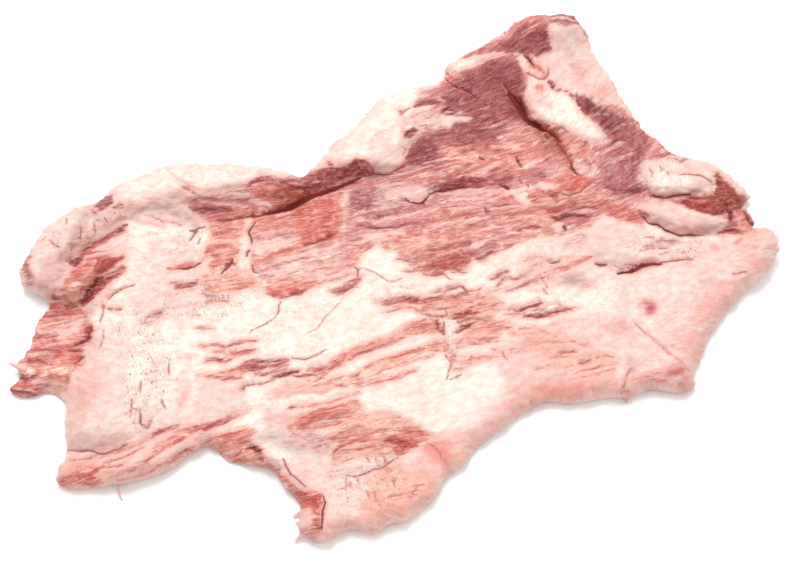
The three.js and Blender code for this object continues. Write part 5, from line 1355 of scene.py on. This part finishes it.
def make_slab():
    """A finely meshed, rounded copy of the CAD slab."""
    slab = bpy.data.objects.new("meat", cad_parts["secreto"].data.copy())
    bpy.context.scene.collection.objects.link(slab)
    slab.data.materials.clear()
    select_only(slab)
    bpy.ops.object.mode_set(mode="EDIT")
    bpy.ops.mesh.select_all(action="SELECT")
    bpy.ops.mesh.remove_doubles(threshold=MERGE_DISTANCE)
    bpy.ops.mesh.normals_make_consistent(inside=False)
    bpy.ops.object.mode_set(mode="OBJECT")
    finish_with(slab, "SUBSURF", levels=2, render_levels=2)
    finish_with(slab, "REMESH", mode="VOXEL", voxel_size=VOXEL)
    finish_with(slab, "SMOOTH", factor=0.5, iterations=SMOOTHING_ROUNDS)
    thin_underside(slab)
    return slab


def thin_underside(slab):
    """Leaves only a few large faces where the slab lies flat."""
    select_only(slab)
    bpy.ops.object.mode_set(mode="EDIT")
    bpy.ops.mesh.select_mode(type="FACE")
    bpy.ops.mesh.select_all(action="DESELECT")
    bpy.ops.object.mode_set(mode="OBJECT")
    for polygon in slab.data.polygons:
        polygon.select = polygon.center.z < UNDERSIDE_HEIGHT and polygon.normal.z < 0
    bpy.ops.object.mode_set(mode="EDIT")
    bpy.ops.mesh.decimate(ratio=UNDERSIDE_KEPT)
    bpy.ops.object.mode_set(mode="OBJECT")


def read_vectors(collection, name):
    values = np.zeros(len(collection) * 3, np.float32)
    collection.foreach_get(name, values)
    return values.reshape(-1, 3).astype(float)


def place_on_drawing(points):
    """Where points of the meat, in metres, appear on the drawing, in mm."""
    seen = (points - ZERO) / MM
    share = (EYE[2] - PLANE_HEIGHT) / (EYE[2] - seen[:, 2])
    return EYE[0] + (seen[:, 0] - EYE[0]) * share, EYE[1] + (seen[:, 1] - EYE[1]) * share


def place_under_drawing(x, y, height):
    """Where a point at this height has to be, in metres, to appear here on the drawing."""
    share = (EYE[2] - height) / (EYE[2] - PLANE_HEIGHT)
    return ZERO + np.array([EYE[0] + (x - EYE[0]) * share, EYE[1] + (y - EYE[1]) * share, height]) * MM


def add_tags(slab):
    """Joins the small rags of skin to the slab."""
    curves = bpy.data.curves.new("tags", "CURVE")
    curves.dimensions = "3D"
    curves.bevel_depth = MM
    curves.bevel_resolution = 2
    curves.use_fill_caps = True
    for radius, numbers in TAGS:
        places = list(zip(numbers[::3], numbers[1::3], numbers[2::3]))
        spline = curves.splines.new("NURBS")
        spline.points.add(len(places) - 1)
        for k, place in enumerate(places):
            spline.points[k].co = (*place_under_drawing(*place), 1)
            spline.points[k].radius = radius * (1 - TAG_THINNING * k / (len(places) - 1))
        spline.order_u = 3
        spline.use_endpoint_u = True
        spline.resolution_u = 4
    tags = bpy.data.objects.new("tags", curves)
    bpy.context.scene.collection.objects.link(tags)
    select_only(tags)
    bpy.ops.object.convert(target="MESH")
    tags.select_set(True)
    slab.select_set(True)
    bpy.context.view_layer.objects.active = slab
    bpy.ops.object.join()


# ---------------------------------------------------------------------------------------
# Grain and paint
# ---------------------------------------------------------------------------------------
def grain_coordinates(x, y):
    """Coordinates along and across the grain, in mm, bent to follow its direction."""
    turn = math.radians(GRAIN_TURN)
    c, s = math.cos(turn), math.sin(turn)
    us = np.arange(-GRAIN_HALF_LENGTH, GRAIN_HALF_LENGTH, GRAIN_GRID)
    vs = np.arange(-GRAIN_HALF_WIDTH, GRAIN_HALF_WIDTH, GRAIN_GRID)
    u, v = np.meshgrid(us, vs)
    weight, slope = np.full(u.shape, GRAIN_FLOOR), np.zeros(u.shape)
    for gx, gy, angle in GRAIN:
        distance = np.hypot(u - gx * c - gy * s, v + gx * s - gy * c)
        near = np.exp(-(distance / GRAIN_REACH) ** 2 / 2)
        weight += near
        slope += near * math.tan(math.radians(angle) - turn)
    climb = np.cumsum(slope / weight, axis=1) * GRAIN_GRID
    climb -= climb[:, [len(us) // 2]]
    along, across = x * c + y * s, -x * s + y * c
    i = np.clip((along + GRAIN_HALF_LENGTH) / GRAIN_GRID, 0, len(us) - 1.001)
    j = np.clip((across + GRAIN_HALF_WIDTH) / GRAIN_GRID, 0, len(vs) - 1.001)
    i0, j0 = i.astype(int), j.astype(int)
    fi, fj = i - i0, j - j0
    near = climb[j0, i0] * (1 - fi) + climb[j0, i0 + 1] * fi
    far = climb[j0 + 1, i0] * (1 - fi) + climb[j0 + 1, i0 + 1] * fi
    return along, across - near * (1 - fj) - far * fj


def paint(x, y):
    """How deep the fat is over the lean, in mm, and the colours of the fat and of the lean."""
    fatness = np.full(x.shape, DEEPEST)
    fat = np.tile(tone_of("ivory"), (len(x), 1))
    lean = np.tile(tone_of("salmon"), (len(x), 1))
    for finish, width, numbers in PAINT:
        name = finish.removeprefix("soft ")
        line, tone = pairs(numbers), tone_of(name)
        near = near_line(x, y, line, width + DEEPEST)
        depth = depth_in_mark(x[near], y[near], width, line)
        is_lean = fatness[near] < 0
        if finish != name:
            edge = 0.5 * width if width else SOFT_EDGE
            share = SOFT_SHARE * smooth_step(-edge, edge, depth)
            lean_share, fat_share = share * is_lean, share * ~is_lean
        elif name in LEAN_COLOURS:
            over_lean, over_fat = smooth_step(*LEAN_OVER_LEAN, depth), smooth_step(*OVER_THE_OTHER, depth)
            lean_share, fat_share = np.where(is_lean, over_lean, over_fat), 0 * depth
            fatness[near] = np.minimum(fatness[near], -depth)
        else:
            over_lean, over_fat = smooth_step(*OVER_THE_OTHER, depth), smooth_step(*FAT_OVER_FAT, depth)
            lean_share, fat_share = 0 * depth, np.where(is_lean, over_lean, over_fat)
            loss = THIN_STREAK_LOSS if 0 < width < THIN_STREAK else 0
            fatness[near] = np.maximum(fatness[near], depth - loss)
        lean[near] += (tone - lean[near]) * lean_share[:, None]
        fat[near] += (tone - fat[near]) * fat_share[:, None]
    return np.clip(fatness, -DEEPEST, DEEPEST), fat, lean


def find_cracks(x, y):
    """How deep the cracks are at each point in mm, where it lies across the nearest one, from -1
    to 1 between its sides, and how deep that one gets."""
    drop, depths, place = np.zeros(x.shape), np.zeros(x.shape), np.full(x.shape, CRACK_REACH)
    for width, depth, numbers in CRACKS:
        line = pairs(numbers)
        near = near_line(x, y, line, CRACK_REACH)
        distance, share, side = line_distance(x[near], y[near], line)
        dip = taper(share) * np.exp(-(distance / max(DIP_WIDTH * width, NARROWEST_DIP)) ** 2)
        if width < THIN_CRACK:
            dip *= THIN_CRACK_DIP
        drop[near] = np.maximum(drop[near], depth * dip)
        across = side * distance / (CRACK_WIDTH * width * taper(share) + CRACK_TIP)
        closer = np.abs(across) < np.abs(place[near])
        place[near] = np.where(closer, across, place[near])
        depths[near] = np.where(closer, depth, depths[near])
    return drop, np.clip(place, -CRACK_REACH, CRACK_REACH), depths


def find_rise(x, y, along, across, fatness, drop, facing_up):
    """How far the surface rises at each point, in mm."""
    fibres = BUNDLE_RISE * grain_noise(along, across, *BUNDLES)
    fibres += THREAD_RISE * grain_noise(along, across, *THREADS)
    covered = smooth_step(*RISING_FAT, fatness)
    rise = FAT_RISE * covered - drop + LUMP_RISE * layered_noise(x, y, LUMPS)
    rise += (1 - FIBRES_COVERED * covered) * fibres
    rise += EDGE_RISE * smooth_step(*RAGGED_SLOPE, facing_up) * layered_noise(x, y, RAGS)
    return rise * smooth_step(*RAISED_SLOPE, facing_up)


def find_crazing(x, y):
    """How crazed the fat is at each point, from 0 to 1."""
    crazing = np.zeros(x.shape)
    for amount, numbers in CRAZED:
        ring = pairs(numbers)
        near = near_line(x, y, ring, SOFT_EDGE)
        depth = depth_in_mark(x[near], y[near], 0, ring)
        crazing[near] = np.maximum(crazing[near], amount * smooth_step(-SOFT_EDGE, SOFT_EDGE, depth))
    return crazing


# ---------------------------------------------------------------------------------------
# The finish
# ---------------------------------------------------------------------------------------
def colour_socket(name):
    return (*tone_of(name), 1.0)


class Finish:
    """A material's node tree, with short ways to add the nodes that it needs."""

    def __init__(self, name):
        self.material = bpy.data.materials.new(name)
        self.material.use_nodes = True
        self.tree = self.material.node_tree
        self.tree.nodes.clear()

    def put(self, socket, value):
        if isinstance(value, bpy.types.NodeSocket):
            self.tree.links.new(value, socket)
        else:
            socket.default_value = value

    def add(self, kind, output, inputs, **settings):
        node = self.tree.nodes.new(kind)
        for key, value in settings.items():
            setattr(node, key, value)
        for key, value in inputs.items():
            self.put(node.inputs[key], value)
        return node.outputs[output]

    def attribute(self, name, output="Fac"):
        return self.add("ShaderNodeAttribute", output, {}, attribute_name=name)

    def math(self, operation, *values):
        return self.add("ShaderNodeMath", 0, dict(enumerate(values)), operation=operation)

    def product(self, first, *others):
        for other in others:
            first = self.math("MULTIPLY", first, other)
        return first

    def step(self, effect, value):
        """From 0 where the effect starts to show to 1 where it is full."""
        start, full = STEPS[effect]
        inputs = {"Value": value, "From Min": start, "From Max": full}
        return self.add("ShaderNodeMapRange", 0, inputs, interpolation_type="SMOOTHSTEP")

    def mix(self, share, one, other):
        return self.add("ShaderNodeMix", 2, {0: share, 6: one, 7: other}, data_type="RGBA")

    def cover(self, colour, share, name):
        """Lays the named colour over a colour."""
        return self.mix(share, colour, colour_socket(name))

    def tint(self, colour, effect, value, name, *shares):
        """Lays the named colour over a colour as strongly as this effect shows."""
        share = self.product(self.step(effect, value), SHARES[effect], *shares)
        return self.cover(colour, share, name)

    def times(self, colour, effect, value, factors):
        """The colour, multiplied by these factors where the effect is full."""
        factor = self.mix(self.step(effect, value), (1, 1, 1, 1), (*factors, 1))
        return self.add("ShaderNodeVectorMath", 0, {0: colour, 1: factor}, operation="MULTIPLY")

    def noise(self, vector, along, across, detail, roughness):
        """Noise that changes over these lengths, in mm, along and across the grain."""
        sizes = {0: vector, 1: (1 / along, 1 / across, 1)}
        place = self.add("ShaderNodeVectorMath", 0, sizes, operation="MULTIPLY")
        inputs = {"Vector": place, "Scale": 1, "Detail": detail, "Roughness": roughness}
        return self.add("ShaderNodeTexNoise", "Fac", inputs)

    def off_middle(self, noise):
        """How far a noise is from its middle, which it passes through along thin lines."""
        return self.math("ABSOLUTE", self.math("ADD", noise, -0.5))


def make_noises(f):
    """The noises of the finish, by name."""
    grain = f.attribute("grain", "Vector")
    noises = {name: f.noise(grain, *numbers) for name, numbers in NOISES.items()}
    threads = f.product(noises["threads"], 1 - BUNDLE_SHARE)
    noises["streaks"] = f.math("MULTIPLY_ADD", noises["bundles"], BUNDLE_SHARE, threads)
    return noises


def depth_of_fat(f, noises):
    """How deep the fat is. Where fat and lean meet, each runs into the other in threads."""
    depth = f.attribute("fatness")
    for name, reach in SWAY.items():
        depth = f.math("ADD", depth, f.math("MULTIPLY_ADD", noises[name], reach, -reach / 2))
    return depth


def colour_lean(f, noises):
    """The lean's painted colour with its streaks, hairs and mottles; dark lean is quieter."""
    painted = f.attribute("lean_colour", "Color")
    lightness = f.add("ShaderNodeRGBToBW", 0, {"Color": painted})
    lively = f.math("MULTIPLY_ADD", f.step("lively lean", lightness), 1 - LEAST_LIVELY, LEAST_LIVELY)
    lean = f.times(painted, "dark streaks", noises["streaks"], DARK_STREAK)
    lean = f.tint(lean, "pale streaks", noises["streaks"], "pale pink", lively)
    lean = f.tint(lean, "hairs", noises["hairs"], "pale lean", lively)
    lean = f.tint(lean, "warm crumbs", noises["crumbs"], "peach")
    lean = f.times(lean, "dark mottles", noises["mottles"], DARK_MOTTLE)
    return f.times(lean, "pale mottles", noises["mottles"], PALE_MOTTLE)


def colour_fat(f, noises, depth):
    """The fat's painted colour, with flushes and veins and a thin film where it runs out."""
    fat = f.attribute("fat_colour", "Color")
    fat = f.tint(fat, "blush", noises["blotches"], "pale pink")
    fat = f.times(fat, "flushed mottles", noises["mottles"], FLUSH)
    fat = f.times(fat, "bloom", noises["mottles"], BLOOM)
    fat = f.times(fat, "flushed crumbs", noises["crumbs"], FLUSH)
    fat = f.tint(fat, "veins", noises["streaks"], "rosy fat")
    return f.tint(fat, "thin film", depth, "thin fat")


def find_creases(f, noises, depth):
    """Dark creases along the grain, where the fat is thin."""
    line = f.step("creases", f.off_middle(noises["creases"]))
    patches = f.step("creased mottles", noises["mottles"])
    return f.product(line, patches, f.step("creased depth", depth))


def find_fissures(f, noises):
    """Fine fissures and specks where the fat is crazed."""
    line = f.step("fissures", f.off_middle(noises["fissures"]))
    patches = f.step("fissured blotches", noises["blotches"])
    line = f.product(line, patches, f.step("fissured crumbs", noises["crumbs"]))
    specks = f.product(f.step("specks", noises["specks"]), SHARES["specks"])
    return f.product(f.math("MAXIMUM", line, specks), f.attribute("crazing"))


def find_tears(f, noises, gap, depths):
    """The tears' lines: shallow ones wobble more and are broken up."""
    steady = f.step("steady tears", depths)
    reach = f.math("MULTIPLY_ADD", steady, DEEP_WOBBLE - SHALLOW_WOBBLE, SHALLOW_WOBBLE)
    wobble = f.product(f.math("ADD", noises["crumbs"], -0.5), reach)
    off = f.math("ABSOLUTE", f.math("ADD", f.attribute("crack_place"), wobble))
    whole = f.math("MAXIMUM", f.step("breaks", noises["breaks"]), f.step("whole tears", depths))
    return f.product(f.step("tear lines", off), f.step("tear gap", gap), whole)


def colour_tears(f, colour, tears, gap, depths, fat_share):
    """Lays a halo, a dark border and the tear's own colour on, and blood where it is deep."""
    halo = f.product(f.step("halo", gap), fat_share, SHARES["halo"])
    colour = f.cover(colour, halo, "salmon")
    border = f.product(f.step("border gap", gap), f.step("border depth", depths), SHARES["border"])
    colour = f.cover(colour, border, "brick")
    tear = f.mix(fat_share, colour_socket("dark maroon"), colour_socket("brown"))
    colour = f.mix(f.product(tears, f.step("tear depth", depths)), colour, tear)
    return f.cover(colour, f.product(tears, f.step("blood depth", depths)), "blood")


def find_height(f, noises, fat_share, fissures, tears):
    """How high the fine relief is, as a share of its greatest height."""
    fibres = f.math("MULTIPLY_ADD", f.math("SUBTRACT", 1, fat_share), LEAN_FIBRES, FAT_FIBRES)
    height = f.product(fibres, noises["streaks"])
    height = f.math("ADD", height, f.product(noises["crumbs"], CRUMB_HEIGHT))
    height = f.math("SUBTRACT", height, f.product(fissures, FISSURE_DROP))
    return f.math("SUBTRACT", height, f.product(tears, TEAR_DROP))


def make_meat_finish():
    f = Finish("marbled_meat")
    noises = make_noises(f)
    gap, depths = f.attribute("crack_gap"), f.attribute("crack_depth")
    depth = depth_of_fat(f, noises)
    fat_share = f.step("fat", depth)
    colour = f.mix(fat_share, colour_lean(f, noises), colour_fat(f, noises, depth))
    creases = find_creases(f, noises, depth)
    colour = f.cover(colour, f.product(creases, SHARES["creases"]), "brick")
    fissures = find_fissures(f, noises)
    colour = f.cover(colour, f.product(fissures, SHARES["fissures"]), "rose")
    tears = find_tears(f, noises, gap, depths)
    colour = colour_tears(f, colour, tears, gap, depths, fat_share)
    height = find_height(f, noises, fat_share, fissures, tears)
    relief = {"Strength": 1.0, "Distance": RELIEF_HEIGHT, "Height": height}
    shader = f.add("ShaderNodeBsdfPrincipled", 0, {
        "Base Color": colour,
        "Normal": f.add("ShaderNodeBump", 0, relief),
        "Roughness": f.math("MULTIPLY_ADD", noises["crumbs"], ROUGHNESS_SPREAD, LEAST_ROUGHNESS),
        "IOR": 1.4,
        "Specular IOR Level": 0.3,
        "Subsurface Weight": 0.4,
        "Subsurface Radius": (1.0, 0.4, 0.3),
        "Subsurface Scale": 0.5 * MM,
    })
    f.put(f.tree.nodes.new("ShaderNodeOutputMaterial").inputs["Surface"], shader)
    return f.material


def store(mesh, name, kind, key, values):
    attribute = mesh.attributes.new(name, kind, "POINT")
    attribute.data.foreach_set(key, np.ascontiguousarray(values, np.float32).ravel())


def store_values(mesh, **arrays):
    for name, values in arrays.items():
        store(mesh, name, "FLOAT", "value", values)


# ---------------------------------------------------------------------------------------
# The meat
# ---------------------------------------------------------------------------------------
def make_meat():
    slab = make_slab()
    mesh = slab.data
    slab_size = len(mesh.vertices)
    add_tags(slab)
    points = read_vectors(mesh.vertices, "co")
    normals = read_vectors(mesh.vertex_normals, "vector")
    x, y = place_on_drawing(points)
    along, across = grain_coordinates(x, y)
    for amount, *numbers in WANDER:
        across = across + amount * grain_noise(along, across, *numbers)

    warp_x, warp_y = layered_noise(x, y, WARP_X), layered_noise(x, y, WARP_Y)
    fatness, fat, lean = paint(x + warp_x, y + warp_y)
    drop, place, depths = find_cracks(x + CRACK_WARP * warp_x, y + CRACK_WARP * warp_y)
    crazing = find_crazing(x + warp_x, y + warp_y)
    fatness[slab_size:], fat[slab_size:] = DEEPEST, tone_of("pink fat")
    # Painted warm shade on the slopes of the fat, partly the pinker thin fat at its rims.
    slope = smooth_step(*SHADE_TINT_SLOPE, normals[:, 2])[:, None]
    fat += (tone_of("thin fat") - fat) * SLOPE_SHADE_TINT * slope

    rise = find_rise(x, y, along, across, fatness, drop, normals[:, 2])
    rise[slab_size:] = 0
    points += normals * (rise * MM)[:, None]
    mesh.vertices.foreach_set("co", points.astype(np.float32).ravel())
    mesh.update()

    opaque = np.ones((len(x), 1))
    store(mesh, "grain", "FLOAT_VECTOR", "vector", np.stack([along, across, 0 * along], 1))
    store(mesh, "fat_colour", "FLOAT_COLOR", "color", np.hstack([fat, opaque]))
    store(mesh, "lean_colour", "FLOAT_COLOR", "color", np.hstack([lean, opaque]))
    store_values(mesh, fatness=fatness, crack_place=place, crack_gap=np.abs(place),
                 crack_depth=depths, crazing=crazing)
    mesh.materials.append(make_meat_finish())
    mesh.shade_smooth()
    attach(slab, "root")
    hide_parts("secreto")


# ---------------------------------------------------------------------------------------
# Floor, light and camera
# ---------------------------------------------------------------------------------------
def make_floor():
    bpy.ops.object.select_all(action="DESELECT")
    bpy.ops.mesh.primitive_plane_add(size=FLOOR_SIZE, location=(0, 0, cad_low.z))
    floor = bpy.context.active_object
    floor.name = "floor"
    material = bpy.data.materials.new("white_floor")
    material.use_nodes = True
    shader = material.node_tree.nodes["Principled BSDF"]
    shader.inputs["Base Color"].default_value = (0.93, 0.93, 0.93, 1)
    shader.inputs["Roughness"].default_value = 0.9
    shader.inputs["Specular IOR Level"].default_value = 0.0
    floor.data.materials.append(material)


def make_light(name, place, size, power):
    lamp = bpy.data.lights.new(name, "AREA")
    lamp.shape = "DISK"
    lamp.size = size
    lamp.energy = power
    light = bpy.data.objects.new(name, lamp)
    bpy.context.scene.collection.objects.link(light)
    light.location = place
    light.rotation_euler = (-Vector(place)).to_track_quat("-Z", "Y").to_euler()


def make_studio():
    scene = bpy.context.scene
    scene.view_settings.view_transform = "Standard"
    scene.world = bpy.data.worlds.new("studio")
    scene.world.use_nodes = True
    background = scene.world.node_tree.nodes["Background"]
    background.inputs["Color"].default_value = (1, 1, 1, 1)
    background.inputs["Strength"].default_value = SKY_STRENGTH
    for name, numbers in LAMPS.items():
        make_light(name, *numbers)


def make_camera():
    """The photograph's view: from in front and 60 degrees above."""
    view = bpy.data.cameras.new("view")
    view.lens = 85
    view.sensor_width = 36
    camera = bpy.data.objects.new("view", view)
    bpy.context.scene.collection.objects.link(camera)
    camera.location = Vector(ZERO + EYE * MM)
    camera.rotation_euler = Vector(AIM - EYE).to_track_quat("-Z", "Y").to_euler()
    bpy.context.scene.camera = camera


make_camera()
make_meat()
make_floor()
make_studio()
